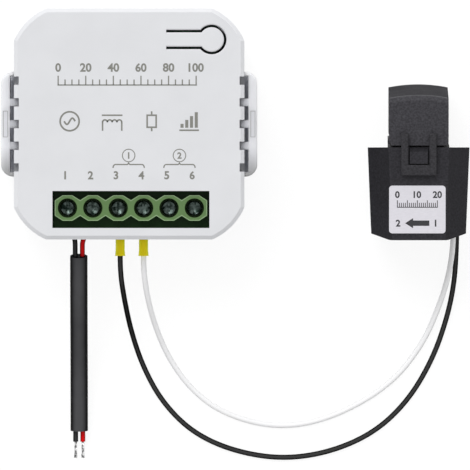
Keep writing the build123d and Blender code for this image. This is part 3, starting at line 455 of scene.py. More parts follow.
@dataclass(frozen=True)
class DustedPlastic(MouldedPlastic):
    """Moulded plastic with painted shade: its upper face is paler than its sloping faces."""

    # The colour of the sloping faces, which is painted shade.
    slope: Colour = (0.02, 0.02, 0.02)
    turn: float = 0.85

    def tint(self, graph: FinishGraph, cloud: Socket) -> None:
        """The base colour runs from the painted shade of the sloping faces to the upper face's own."""
        facing = graph.upward(cloud, self.clouds)
        graph.colours(facing, self.slope, self.colour, low=self.turn, high=1.0)


@dataclass(frozen=True)
class GrippedPlastic(MouldedPlastic):
    """Moulded plastic greyed by painted shade at one end of its top."""

    # The grey end's colour, which is painted shade.
    gripped: Colour = (0.3, 0.3, 0.3)
    grey_end: float = -10.3 * MM
    clean_end: float = -4.6 * MM
    top: float = 22.6 * MM
    depth: float = 4.0 * MM

    def tint(self, graph: FinishGraph, cloud: Socket) -> None:
        """The base colour clears along Y, from the painted shade at the grey end to the other end, and down from
        the top.

        Args:
            graph: The material's nodes.
            cloud: The plastic's clouds, which show in its roughness only.
        """
        inwards = graph.along("Y", self.grey_end, self.clean_end)
        down = graph.along("Z", self.top, self.top - self.depth)
        graph.colours(graph.larger(inwards, down), self.gripped, self.colour, low=0.0, high=1.0)


@dataclass(frozen=True)
class WornMetal(Finish):
    """Plated or bare metal: fine drawing lines, dull patches, and a colour that darkens in them."""

    dull: Colour = (0.2, 0.2, 0.2)
    roughness: float = 0.3
    smoother: float = 0.05
    duller: float = 0.14
    line_size: float = 0.05 * MM
    line_stretch: Point = (1.0, 1.0, 12.0)
    line_depth: float = 0.003 * MM
    patch_size: float = 0.9 * MM
    patch_ends: tuple[float, float] = (0.38, 0.62)

    def paint(self, graph: FinishGraph) -> None:
        """Patches move the colour and the roughness, and stretched noise is the drawing lines.

        Args:
            graph: The material's nodes.
        """
        patch = graph.noise(self.patch_size, detail=4.0)
        graph.colours(patch, self.dull, self.colour, *self.patch_ends)
        graph.drift(patch, "Roughness", self.roughness + self.duller, self.roughness - self.smoother)
        graph.relief(graph.noise(self.line_size, stretch=self.line_stretch), self.line_depth)
        graph.plain(Metallic=1.0)


@dataclass(frozen=True)
class DishedMetal(WornMetal):
    """Worn metal on a row of round heads, each with a shallow dish pressed in it."""

    first_head: str = "terminal_screw_1"
    pitch: float = TERMINAL_PITCH
    dish_radius: float = 1.5 * MM
    dish_depth: float = 0.45 * MM

    def paint(self, graph: FinishGraph) -> None:
        """Worn metal, with the dishes added to its relief.

        Args:
            graph: The material's nodes.
        """
        super().paint(graph)
        bowls = graph.bowls(tuple(middle_of(self.first_head)), self.pitch, self.dish_radius)
        graph.relief(bowls, self.dish_depth)


@dataclass(frozen=True)
class Sheath(Finish):
    """A cable's soft plastic sheath: painted shading that runs from its top to its flanks, and a slight orange
    peel.
    """

    # The flanks' colour, which is painted shading.
    flank: Colour
    turn: float = 0.5
    roughness: float = 0.38
    duller: float = 0.08
    rubbed: float = 0.1
    rub_size: float = 2.2 * MM
    peel_size: float = 0.5 * MM
    peel_depth: float = 0.01 * MM
    specular: float = 0.2

    def paint(self, graph: FinishGraph) -> None:
        """The colour runs from the flanks' painted shading to the top's own, and faint patches unsettle it.

        Args:
            graph: The material's nodes.
        """
        rub = graph.noise(self.rub_size, detail=4.0)
        facing = graph.upward(rub, self.rubbed)
        graph.colours(facing, self.flank, self.colour, low=self.turn, high=1.0)
        graph.drift(rub, "Roughness", self.roughness, self.roughness + self.duller)
        graph.relief(graph.noise(self.peel_size, detail=1.0), self.peel_depth)
        graph.plain(Specular_IOR_Level=self.specular)


@dataclass(frozen=True)
class CircuitLaminate(Finish):
    """Circuit board under its solder mask, with paler tracks that stand up a little."""

    track: Colour = (0.02, 0.2, 0.08)
    block: float = 2.4 * MM
    row: float = 0.37
    track_width: float = 0.06
    track_ends: tuple[float, float] = (0.2, 0.8)
    track_height: float = 0.03 * MM
    mask_size: float = 1.5 * MM
    smoothest: float = 0.22
    dullest: float = 0.34

    def paint(self, graph: FinishGraph) -> None:
        """A brick pattern's joints are the tracks, in colour and in relief.

        Args:
            graph: The material's nodes.
        """
        tracks = graph.tracks(self.block, self.row, self.track_width)
        graph.colours(tracks, self.colour, self.track, *self.track_ends)
        graph.relief(tracks, self.track_height)
        graph.drift(graph.noise(self.mask_size), "Roughness", self.smoothest, self.dullest)


@dataclass(frozen=True)
class SpeckledCeramic(Finish):
    """Pressed ceramic or ferrite: fine speckle and a dry, pitted surface."""

    speckle: Colour = (0.1, 0.1, 0.1)
    speckle_size: float = 0.18 * MM
    speckle_ends: tuple[float, float] = (0.5, 0.75)
    pit_depth: float = 0.02 * MM
    patch_size: float = 1.2 * MM
    roughness: float = 0.6
    uneven: float = 0.08

    def paint(self, graph: FinishGraph) -> None:
        """Small bright speckles, and pits at the same scale.

        Args:
            graph: The material's nodes.
        """
        speckle = graph.noise(self.speckle_size, detail=3.0)
        graph.colours(speckle, self.colour, self.speckle, *self.speckle_ends)
        patch = graph.noise(self.patch_size)
        graph.drift(patch, "Roughness", self.roughness - self.uneven, self.roughness + self.uneven)
        graph.relief(speckle, self.pit_depth)


@dataclass(frozen=True)
class WoundWire(Finish):
    """Enamelled wire wound turn beside turn along X."""

    gap: Colour = (0.12, 0.03, 0.01)
    gap_ends: tuple[float, float] = (0.05, 0.45)
    pitch: float = 0.22 * MM
    relief: float = 0.7
    metallic: float = 0.7
    enamel_size: float = 1.4 * MM
    smoothest: float = 0.24
    dullest: float = 0.36

    def paint(self, graph: FinishGraph) -> None:
        """Bands a wire apart give each turn its round back and the dark line beside it.

        Args:
            graph: The material's nodes.
        """
        turns = graph.bands(self.pitch, "X")
        graph.colours(turns, self.gap, self.colour, *self.gap_ends)
        graph.relief(turns, self.pitch / 2, self.relief)
        graph.drift(graph.noise(self.enamel_size), "Roughness", self.smoothest, self.dullest)
        graph.plain(Metallic=self.metallic)


@dataclass(frozen=True)
class PrintedInk(Finish):
    """Pad-printed ink: nearly even, thinner in places, and a little duller than the plastic under it."""

    thin: float = 0.1
    film_size: float = 0.35 * MM
    film_ends: tuple[float, float] = (0.4, 0.7)
    smoothest: float = 0.5
    dullest: float = 0.62

    def paint(self, graph: FinishGraph) -> None:
        """A fine noise lightens the ink where it is thin.

        Args:
            graph: The material's nodes.
        """
        film = graph.noise(self.film_size, detail=3.0)
        graph.colours(film, self.colour, shaded(self.colour, 1 + self.thin), *self.film_ends)
        graph.drift(film, "Roughness", self.smoothest, self.dullest)


@dataclass(frozen=True)
class PaperFilm(Finish):
    """A printed label's coated paper: faint fibres and a soft sheen."""

    fibre_size: float = 0.25 * MM
    fibre_stretch: Point = (3.0, 1.0, 1.0)
    fibre_depth: float = 0.004 * MM
    darker: float = 0.035
    lighter: float = 0.02
    sheen_size: float = 2.0 * MM
    smoothest: float = 0.42
    dullest: float = 0.5

    def paint(self, graph: FinishGraph) -> None:
        """Long fine noise gives the fibres their tint and their relief.

        Args:
            graph: The material's nodes.
        """
        fibres = graph.noise(self.fibre_size, detail=3.0, stretch=self.fibre_stretch)
        graph.colours(fibres, shaded(self.colour, 1 - self.darker), shaded(self.colour, 1 + self.lighter))
        graph.relief(fibres, self.fibre_depth)
        graph.drift(graph.noise(self.sheen_size), "Roughness", self.smoothest, self.dullest)


@dataclass(frozen=True)
class ClearResin(Finish):
    """A lamp's tinted resin, with tiny bubbles that cloud it."""

    cloud_size: float = 0.4 * MM
    lighter: float = 0.2
    clear: float = 0.4
    smoothest: float = 0.1
    dullest: float = 0.22

    def paint(self, graph: FinishGraph) -> None:
        """Clouded transmission.

        Args:
            graph: The material's nodes.
        """
        cloud = graph.noise(self.cloud_size, detail=3.0)
        graph.colours(cloud, self.colour, shaded(self.colour, 1 + self.lighter))
        graph.drift(cloud, "Roughness", self.smoothest, self.dullest)
        graph.plain(Transmission_Weight=self.clear)


BLOCK_GREEN = srgb(86, 120, 65)
BLOCK_SHADE = srgb(15, 52, 10)
# The first clamp colour is painted shade on the crowns of the clamp's cap and latch loop; the next two are their
# front faces' own.
CLAMP_CROWN_SHADE = srgb(43, 42, 47)
CLAMP_FRONT = srgb(70, 69, 74)
LOOP_FRONT = srgb(61, 60, 64)
# Heights in the shared frame, for painted shade: the terminal block is dark on the deck between its collars,
# and the clamp's cap and latch loop are dark on their crowns below the front face.
BLOCK_LEVELS = (
    (18.7 * MM, BLOCK_GREEN),
    (19.2 * MM, BLOCK_SHADE),
    (20.7 * MM, BLOCK_SHADE),
    (22.25 * MM, BLOCK_GREEN),
)
CAP_SHADE_HEIGHT, CAP_FRONT_HEIGHT = 23.3 * MM, 23.95 * MM

# One finish for each material slot of the record.
FINISHES: dict[str, Finish] = {
    "cover_plastic": MouldedPlastic("pale_grey_abs", srgb(223, 224, 227)),
    "housing_plastic": MouldedPlastic("pale_grey_abs_back", srgb(225, 226, 229), roughness=0.46),
    # The bracket, with painted shade on the lower ends of its ears.
    "bracket_plastic": GrippedPlastic(
        "white_nylon",
        srgb(229, 230, 235),
        roughness=0.36,
        grain_depth=0.004 * MM,
        milkiness=1.0,
        gripped=srgb(150, 150, 150),
    ),
    "latch_plastic": MouldedPlastic(
        "white_acetal", srgb(232, 232, 234), roughness=0.3, grain_depth=0.003 * MM
    ),
    "block_plastic": LevelledPlastic(
        "green_polyamide", BLOCK_GREEN, roughness=0.36, levels=BLOCK_LEVELS, low_specular=0.12
    ),
    "screw_steel": DishedMetal(
        "dark_zinc_steel",
        (0.074, 0.096, 0.088),
        dull=(0.006, 0.012, 0.009),
        roughness=0.24,
        patch_size=0.8 * MM,
    ),
    "cage_metal": WornMetal("nickel_brass", (0.68, 0.66, 0.60), dull=(0.42, 0.40, 0.35), roughness=0.28),
    "spring_steel": WornMetal(
        "bright_strip_steel", (0.62, 0.63, 0.65), dull=(0.40, 0.40, 0.41), roughness=0.2
    ),
    "circuit_board": CircuitLaminate("green_solder_mask", srgb(24, 92, 52), track=srgb(48, 130, 78)),
    "black_plastic": MouldedPlastic("black_epoxy", srgb(38, 38, 41), roughness=0.5, clouds=0.08),
    "component_metal": WornMetal("tinned_can", (0.70, 0.70, 0.70), dull=(0.52, 0.52, 0.53), roughness=0.26),
    "component_blue": MouldedPlastic("blue_disc_coat", srgb(38, 72, 150), roughness=0.3, clouds=0.06),
    "component_cream": MouldedPlastic(
        "cream_resistor_coat", srgb(206, 190, 150), roughness=0.4, clouds=0.05
    ),
    "led_resin": ClearResin("green_lamp_resin", srgb(120, 210, 130)),
    # Each sheath's second colour is painted shading on its flanks: darker on the jacket and the cores, a little
    # darker on the white lead, and lighter on the yellow sleeves.
    "sleeve_yellow": Sheath("yellow_ferrule_nylon", srgb(247, 226, 4), srgb(255, 255, 34), roughness=0.34),
    "tinned_copper": WornMetal(
        "tinned_copper_wire", (0.86, 0.86, 0.86), dull=(0.16, 0.16, 0.16), patch_size=0.5 * MM
    ),
    "bare_copper": WornMetal(
        "bare_copper_wire", (0.80, 0.42, 0.26), dull=(0.45, 0.20, 0.11), roughness=0.28
    ),
    "jacket_pvc": Sheath(
        "black_jacket", srgb(80, 80, 82), srgb(8, 8, 9), turn=0.6, roughness=0.4, specular=0.02
    ),
    "core_black": Sheath(
        "black_insulation", srgb(60, 60, 60), srgb(4, 4, 4), turn=0.75, roughness=0.3, specular=0.02
    ),
    "core_red": Sheath(
        "red_insulation", srgb(224, 4, 10), srgb(130, 0, 2), turn=0.6, roughness=0.3, specular=0.12
    ),
    "lead_white": Sheath(
        "white_insulation", srgb(254, 254, 255), srgb(245, 245, 246), roughness=0.34, specular=0.4
    ),
    # The clamp's base, with painted shade on its sloping faces.
    "clamp_plastic": DustedPlastic(
        "black_clamp_nylon",
        srgb(54, 53, 58),
        slope=srgb(36, 35, 40),
        roughness=0.5,
        clouds=0.06,
        grain_size=0.4 * MM,
        grain_depth=0.04 * MM,
        specular=0.15,
        speckled=0.5,
    ),
    "ferrite": SpeckledCeramic("grey_ferrite", srgb(52, 52, 55), speckle=srgb(96, 96, 100)),
    "copper_wire": WoundWire("enamelled_winding", (0.62, 0.27, 0.12)),
    "label_film": PaperFilm("white_label", srgb(226, 224, 231)),
}
# The clamp's cap, with painted shade on its crown below the front face, and little gloss there.
CAP_SHADED_NYLON = LevelledPlastic(
    "clamp_cap_painted_shade_nylon",
    CLAMP_FRONT,
    roughness=0.5,
    grain_size=0.4 * MM,
    grain_depth=0.04 * MM,
    specular=0.15,
    speckled=0.5,
    levels=((CAP_SHADE_HEIGHT, CLAMP_CROWN_SHADE), (CAP_FRONT_HEIGHT, CLAMP_FRONT)),
    low_specular=0.01,
)
LOOP_SHADED_NYLON = replace(
    CAP_SHADED_NYLON, name="loop_painted_shade_nylon", levels=((CAP_SHADE_HEIGHT, CLAMP_CROWN_SHADE), (CAP_FRONT_HEIGHT, LOOP_FRONT))
)
FACE_INK = PrintedInk("grey_face_ink", srgb(126, 126, 120))
LABEL_INK = PrintedInk("black_label_ink", srgb(38, 38, 42), thin=0.2)
# Painted shade, made as ink, in the corners of the ears' recesses.
RECESS_SHADE = PrintedInk("nylon_corner_shade", srgb(182, 182, 184), thin=0.05)
# A painted highlight, made as ink, along the collars' edges.
BLOCK_EDGE_HIGHLIGHT = PrintedInk("polyamide_painted_highlight", srgb(134, 163, 118), thin=0.05)


def dress(*names: str, finish: Finish | None = None) -> None:
    """Gives each CAD node its finish.

    Args:
        names: The nodes.
        finish: Their finish, or None for the one of the slot that their material is named for.
    """
    for name in names:
        for material_slot in frame["nodes"][name].material_slots:
            slot = material_slot.material.name.split(".")[0]
            material_slot.material = (finish or FINISHES[slot]).material()
    LOG.info("dressed %s", ", ".join(names))


def skin(rings: np.ndarray, looped: bool = False) -> Shape:
    """Joins a stack of rings into a closed surface.

    Formula: a face joins points j and j + 1 of ring i to the same points of ring i + 1, with j wrapping
    round. An open stack gets a flat cap at each end, and a looped one joins its last ring to its first.

    Args:
        rings: Rings by points by 3, each ring turning anticlockwise as seen from the stack's far end.
        looped: Whether the stack runs back into itself.

    Returns:
        The vertices and the faces.
    """
    count, around = rings.shape[:2]
    here = np.arange(count if looped else count - 1)[:, None] * around
    there = (here + around) % (count * around)
    turn = np.arange(around)[None, :]
    after = (turn + 1) % around
    quads = np.stack([here + turn, here + after, there + after, there + turn], axis=-1)
    faces = quads.reshape(-1, 4).tolist()
    if not looped:
        faces.append(list(range(around))[::-1])
        faces.append(list(range((count - 1) * around, count * around)))
    return rings.reshape(-1, 3), faces


def arc(radius: float, first: float, last: float, steps: int) -> np.ndarray:
    """Points on an arc about the origin: radius times (cos t, sin t), with t from first to last."""
    turn = np.linspace(first, last, steps)
    return radius * np.stack([np.cos(turn), np.sin(turn)], axis=1)


def circle(radius: float, centre: Place, count: int = 48) -> np.ndarray:
    """Points round a circle, anticlockwise, without a second point where it closes."""
    return arc(radius, 0.0, 2 * math.pi, count + 1)[:-1] + centre


def add_piece(name: str, shape: Shape, finish: Finish) -> bpy.types.Object:
    """Makes a mesh piece that rides on the base body.

    Args:
        name: The piece's name.
        shape: Its vertices, in metres in the shared frame, and its faces.
        finish: Its finish.

    Returns:
        The piece.
    """
    vertices, faces = shape
    mesh = bpy.data.meshes.new(name)
    mesh.from_pydata(vertices.tolist(), [], faces)
    mesh.polygons.foreach_set("use_smooth", np.ones(len(mesh.polygons), bool))
    mesh.set_sharp_from_angle(angle=SHARP_ANGLE)
    mesh.materials.append(finish.material())
    piece = bpy.data.objects.new(name, mesh)
    bpy.context.scene.collection.objects.link(piece)
    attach(piece, BASE_BODY)
    LOG.info("made %s with %d faces", name, len(faces))
    return piece


class Bundle:
    """Closed shapes collected into one."""

    def __init__(self) -> None:
        """Starts with no shape."""
        self.vertices: list[np.ndarray] = []
        self.faces: list[list[int]] = []

    def add(self, shape: Shape) -> None:
        """Takes in a shape.

        Args:
            shape: Its vertices and its faces.
        """
        vertices, faces = shape
        start = sum(len(v) for v in self.vertices)
        self.vertices.append(vertices)
        self.faces += [[start + corner for corner in face] for face in faces]

    def joined(self) -> Shape:
        """All the shapes as one."""
        return np.concatenate(self.vertices), self.faces


class InkLayer(Bundle):
    """Flat marks collected in one plane, then made into one thin mesh on a surface. Sizes in metres.

    The figures are bolder than the font by a share of its size, and its curves are cut into a few steps.
    """

    figure_weight: float = 0.03
    figure_steps: int = 4

    def __init__(self, thickness: float = 0.02 * MM) -> None:
        """Starts an empty layer that stands thickness off its surface and goes half as far into it."""
        super().__init__()
        self.low, self.high = -thickness / 2, thickness

    def stroke(self, points: np.ndarray, width: float, looped: bool = False) -> None:
        """Draws a line of even width along points.

        Formula: each point's two sides lie along its normal, which is the mean of the runs before and after
        it, turned a quarter. They are half the width away, over the cosine of half the turn there.

        Args:
            points: Points by 2.
            width: The line's width.
            looped: Whether the line closes on itself.
        """
        ahead = np.roll(points, -1, axis=0) - points
        if not looped:
            ahead[-1] = ahead[-2]
        ahead /= np.linalg.norm(ahead, axis=1, keepdims=True)
        behind = np.roll(ahead, 1, axis=0)
        if not looped:
            behind[0] = ahead[0]
        mean = ahead + behind
        mean /= np.linalg.norm(mean, axis=1, keepdims=True)
        normal = np.stack([-mean[:, 1], mean[:, 0]], axis=1)
        normal *= width / 2 / np.sum(mean * ahead, axis=1, keepdims=True)
        rings = np.empty((len(points), 4, 3))
        rings[:, (0, 1), :2] = (points - normal)[:, None]
        rings[:, (2, 3), :2] = (points + normal)[:, None]
        rings[:, (0, 3), 2] = self.low
        rings[:, (1, 2), 2] = self.high
        self.add(skin(rings[:, ::-1], looped))

    def area(self, outline: np.ndarray) -> None:
        """Fills an outline.

        Args:
            outline: Points by 2, anticlockwise.
        """
        rings = np.empty((2, len(outline), 3))
        rings[:, :, :2] = outline
        rings[0, :, 2] = self.low
        rings[1, :, 2] = self.high
        self.add(skin(rings))

    def figures(self, text: str, height: float, centre: Place) -> None:
        """Sets a row of plain figures.

        The font's letters are extruded only to give them two sides, which go to the layer's own heights.

        Args:
            text: The figures.
            height: Their height.
            centre: The row's middle.
        """
        curve = bpy.data.curves.new("figures", "FONT")
        curve.body = text
        curve.offset = self.figure_weight
        curve.resolution_u = self.figure_steps
        curve.extrude = 1.0
        source = bpy.data.objects.new("figures", curve)
        mesh = bpy.data.meshes.new_from_object(source)
        vertices = np.empty(len(mesh.vertices) * 3)
        mesh.vertices.foreach_get("co", vertices)
        vertices = vertices.reshape(-1, 3)
        low, high = vertices.min(0)[:2], vertices.max(0)[:2]
        vertices[:, :2] = (vertices[:, :2] - (low + high) / 2) * (height / (high[1] - low[1])) + centre
        vertices[:, 2] = np.where(vertices[:, 2] > 0, self.high, self.low)
        self.add((vertices, [list(p.vertices) for p in mesh.polygons]))
        bpy.data.objects.remove(source)
        bpy.data.curves.remove(curve)
        bpy.data.meshes.remove(mesh)

    def print_on(self, name: str, plane: Matrix, finish: Finish) -> None:
        """Makes the piece.

        Args:
            name: The piece's name.
            plane: Takes the layer's plane to its place in the shared frame.
            finish: The ink.
        """
        flat, faces = self.joined()
        turned = flat @ np.array(plane.to_3x3()).T + np.array(plane.translation)
        add_piece(name, (turned, faces), finish)


@dataclass(frozen=True)
class PrintedScale:
    """A plain scale: a base line, a tick for each step, some of them longer, and figures over some.

    The heights of the ticks and the figures are above the base line. Sizes in metres, in the print's plane.
    """

    first: float
    last: float
    base: float
    line: float
    short: float
    long: float
    long_every: int
    figure_rise: float
    figure_height: float
    figure_every: int
    worth: int = 1
    steps: int = 20

    def draw(self, ink: InkLayer) -> None:
        """Strokes the ticks and the base line, which runs to their outer edges, and sets the figures.

        Args:
            ink: The layer that the scale is printed in.
        """
        ends = [(self.first - self.line / 2, self.base), (self.last + self.line / 2, self.base)]
        ink.stroke(np.array(ends), self.line)
        for number, x in enumerate(np.linspace(self.first, self.last, self.steps + 1)):
            rise = self.short if number % self.long_every else self.long
            ink.stroke(np.array([(x, self.base), (x, self.base + rise)]), self.line)
            if number % self.figure_every == 0:
                place = (x, self.base + self.figure_rise)
                ink.figures(str(self.worth * number), self.figure_height, place)


@dataclass(frozen=True)
class Symbol:
    """One plain symbol of a circuit on the face. Sizes in metres, with the points from its middle."""

    x: float
    y: float = 0.55 * MM
    half: float = 1.9 * MM

    def at(self, points: np.ndarray | list[Place]) -> np.ndarray:
        """The points in the symbol's place."""
        return np.asarray(points) + (self.x, self.y)

    def draw(self, ink: InkLayer) -> None:
        """Adds the symbol to the ink."""
        raise NotImplementedError


@dataclass(frozen=True)
class SourceSymbol(Symbol):
    """A supply: one wave of a sine in a ring."""

    line: float = 0.34 * MM
    wave_half: float = 1.1 * MM
    wave_height: float = 0.62 * MM
    wave_points: int = 33

    def draw(self, ink: InkLayer) -> None:
        """Strokes the ring and the wave.

        Formula: with t from -pi to pi, the wave runs to half its width times t over pi, and rises to its
        height times sin t.

        Args:
            ink: The face's ink.
        """
        ink.stroke(self.at(circle(self.half, (0.0, 0.0))), self.line, looped=True)
        turn = np.linspace(-np.pi, np.pi, self.wave_points)
        wave = np.stack([turn / np.pi * self.wave_half, self.wave_height * np.sin(turn)], axis=1)
        ink.stroke(self.at(wave), self.line)


@dataclass(frozen=True)
class CoilSymbol(Symbol):
    """A transformer's coil: half rings side by side with a lead at each end, under a core's bar."""

    line: float = 0.3 * MM
    turns: int = 4
    radius: float = 0.48 * MM
    ring_y: float = -0.2 * MM
    ring_points: int = 17
    lead_top: float = -0.1 * MM
    bar_y: float = 1.2 * MM
    bar_half: float = 2.064 * MM

    def draw(self, ink: InkLayer) -> None:
        """Strokes the half rings, the leads and the bar.

        Args:
            ink: The face's ink.
        """
        ring = arc(self.radius, math.pi, 0.0, self.ring_points)
        for step in range(self.turns):
            middle = ((2 * step + 1 - self.turns) * self.radius, self.ring_y)
            ink.stroke(self.at(ring + middle), self.line)
        end = self.turns * self.radius
        for x in (-end, end):
            ink.stroke(self.at([(x, self.lead_top), (x, -self.half)]), self.line)
        ink.stroke(self.at([(-self.bar_half, self.bar_y), (self.bar_half, self.bar_y)]), self.line)


@dataclass(frozen=True)
class LoadSymbol(Symbol):
    """A load: an upright box with a lead above and below."""

    line: float = 0.32 * MM
    box_half: float = 0.9 * MM
    box_top: float = 1.2 * MM
    lead_start: float = 1.37 * MM
    lead_end: float = 1.995 * MM

    def draw(self, ink: InkLayer) -> None:
        """Strokes the box and the leads.

        Args:
            ink: The face's ink.
        """
        box = np.array([(-1, -1), (1, -1), (1, 1), (-1, 1)]) * (self.box_half, self.box_top)
        ink.stroke(self.at(box), self.line, looped=True)
        for side in (-1, 1):
            ink.stroke(self.at([(0.0, side * self.lead_start), (0.0, side * self.lead_end)]), self.line)


@dataclass(frozen=True)
class BarsSymbol(Symbol):
    """A reading: bars over a line, each taller than the one before."""

    line: float = 0.32 * MM
    count: int = 4
    pitch: float = 0.95 * MM
    width: float = 0.62 * MM
    growth: float = 0.78 * MM
    lift: float = 0.6 * MM
    base_half: float = 1.95 * MM
    base_lift: float = 0.1 * MM

    def draw(self, ink: InkLayer) -> None:
        """Fills the bars and strokes the line.

        Args:
            ink: The face's ink.
        """
        bottom = self.lift - self.half
        for step in range(self.count):
            left = (step - self.count / 2) * self.pitch + (self.pitch - self.width) / 2
            right, top = left + self.width, bottom + (step + 1) * self.growth
            ink.area(self.at([(left, bottom), (right, bottom), (right, top), (left, top)]))
        base = self.base_lift - self.half
        ink.stroke(self.at([(-self.base_half, base), (self.base_half, base)]), self.line)


@dataclass
class Studio:
    """The camera above the bench, the soft light and the pale floor.

    Lengths are in metres, but the camera's sensor is in millimetres. The sun's spread is in degrees.
    """

    frame_width: float = 94 * MM
    focus_height: float = 23.6 * MM
    centre: Place = (21.17 * MM, -22.2 * MM)
    distance: float = 4.0
    sensor: float = 36.0
    clip_start: float = 0.01
    clip_end: float = 20.0
    roof: float = 0.59
    near_wall: float = 0.5
    far_wall: float = 2.05
    wall_height: float = 0.6
    backdrop: float = 1.0
    sun: float = 1.24
    sun_direction: Point = (0.22, -0.55, -0.8)
    sun_spread: float = 32.0
    floor_half: float = 3.0
    floor_depth: float = 0.02 * MM
    floor_bounce: float = 0.8
    floor_glow: float = 0.88
    floor_shade: float = 0.17

    def build(self) -> None:
        """Sets the camera, then the light and the floor."""
        self.place_camera()
        self.light_tent()
        self.hang_sun()
        self.lay_floor()

    def place_camera(self) -> None:
        """A long lens straight above: its length is the sensor times the distance over the width it sees."""
        data = bpy.data.cameras.new("camera")
        data.sensor_width = self.sensor
        data.lens = self.sensor * self.distance / self.frame_width
        data.clip_start = self.clip_start
        data.clip_end = self.clip_end
        camera = bpy.data.objects.new("camera", data)
        camera.location = (*self.centre, self.focus_height + self.distance)
        bpy.context.scene.collection.objects.link(camera)
        bpy.context.scene.camera = camera

    @staticmethod
    def seen_directly(graph: NodeGraph) -> Socket:
        """Tells how a ray meets the tent or the floor.

        Args:
            graph: The nodes of the one or the other.

        Returns:
            1 for rays from the camera, off gloss or through glass, and 0 for the rest.
        """
        ray = graph.add("LightPath").outputs
        mirrored = graph.larger(ray["Is Camera Ray"], ray["Is Glossy Ray"])
        return graph.larger(mirrored, ray["Is Transmission Ray"])

    def light_tent(self) -> None:
        """A light tent that shows as white.

        The wall on the terminals' side is the darkest, so that what faces it is in shade. The others are
        brighter than the roof, so that the bevels catch some light.
        """
        world = bpy.data.worlds.new("studio")
        bpy.context.scene.world = world
        world.use_nodes = True
        graph = NodeGraph(world.node_tree)
        direction = graph.add("SeparateXYZ", graph.add("TexCoord").outputs["Generated"]).outputs
        walls = {"From_Min": -1.0, "To_Min": self.near_wall, "To_Max": self.far_wall}
        wall = graph.add("MapRange", Value=direction["Y"], **walls).outputs["Result"]
        fall = graph.add(
            "MapRange", Value=direction["Z"], From_Max=self.wall_height, To_Min=wall, To_Max=self.roof
        )
        fall.interpolation_type = "SMOOTHSTEP"
        tent = graph.add("Background", Color=grey(1.0), Strength=fall.outputs["Result"])
        white = graph.add("Background", Color=grey(1.0), Strength=self.backdrop)
        mix = graph.add("MixShader", self.seen_directly(graph), tent.outputs[0], white.outputs[0])
        graph.add("OutputWorld", Surface=mix.outputs[0])

    def hang_sun(self) -> None:
        """One wide soft sun from beyond the module's upper edge."""
        lamp = bpy.data.lights.new("sun", "SUN")
        lamp.energy = self.sun
        lamp.angle = math.radians(self.sun_spread)
        sun = bpy.data.objects.new("sun", lamp)
        sun.rotation_mode = "QUATERNION"
        sun.rotation_quaternion = Vector(self.sun_direction).to_track_quat("-Z", "Y")
        bpy.context.scene.collection.objects.link(sun)

    def lay_floor(self) -> None:
        """A square floor just under the object, near white to the camera and with a faint shadow.

        Seen directly, it is a thin veil in front of the white beyond, so that the clamp's cap still
        shows where it opens below the floor. All other light meets it as a pale solid floor.
        """
        half, depth = self.floor_half, -self.floor_depth
        corners = [(-half, -half, depth), (half, -half, depth), (half, half, depth), (-half, half, depth)]
        mesh = bpy.data.meshes.new("floor")
        mesh.from_pydata(corners, [], [(0, 1, 2, 3)])
        material = bpy.data.materials.new("pale_floor")
        material.use_nodes = True
        graph = NodeGraph(material.node_tree)
        bounce = graph.add("BsdfDiffuse", Color=grey(self.floor_bounce))
        shadowed = graph.add("BsdfDiffuse", Color=grey(self.floor_shade))
        veil = graph.add("BsdfTransparent", Color=grey(self.floor_glow))
        both = graph.add("AddShader", shadowed.outputs[0], veil.outputs[0])
        mix = graph.add("MixShader", self.seen_directly(graph), bounce.outputs[0], both.outputs[0])
        graph.add("OutputMaterial", Surface=mix.outputs[0])
        mesh.materials.append(material)
        floor = bpy.data.objects.new("floor", mesh)
        bpy.context.scene.collection.objects.link(floor)


@dataclass
class Cable:
    """A free cable on one smooth curve, which stands for its CAD tube. Sizes in millimetres.

    The route's points are the CAD route's, in the shared frame, and the curve's control points.
    """

    node: str
    slot: str
    route: list[Point]
    diameter: float
    length: float
    far_end: FarEnd
    stiffness: Stiffness
    order: int = 3
    steps: int = 16
    roundness: int = 7

    def build(self, with_pieces: tuple[bpy.types.Object, ...] = ()) -> None:
        """Lays the curve.

        Args:
            with_pieces: The separate pieces on the cable. Not used.
        """
        name = f"{self.node}_cord"
        data = bpy.data.curves.new(name, "CURVE")
        data.dimensions = "3D"
        data.bevel_depth = self.diameter * MM / 2
        data.bevel_resolution = self.roundness
        data.resolution_u = self.steps
        data.use_fill_caps = True
        spline = data.splines.new("NURBS")
        spline.points.add(len(self.route) - 1)
        points = np.ones((len(self.route), 4))
        points[:, :3] = np.array(self.route) * MM
        spline.points.foreach_set("co", points.ravel())
        spline.order_u = self.order
        spline.use_endpoint_u = True
        spline.use_smooth = True
        data.materials.append(FINISHES[self.slot].material())
        cable = bpy.data.objects.new(name, data)
        bpy.context.scene.collection.objects.link(cable)
        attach(cable, BASE_BODY)
        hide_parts(self.node)
        LOG.info("laid %s, %.1f mm long", name, self.length)


@dataclass(frozen=True)
class Core:
    """One core of the supply cable: its colour, its side in the jacket, its terminal's X and its length."""

    colour: str
    side: int
    terminal: float
    length: float


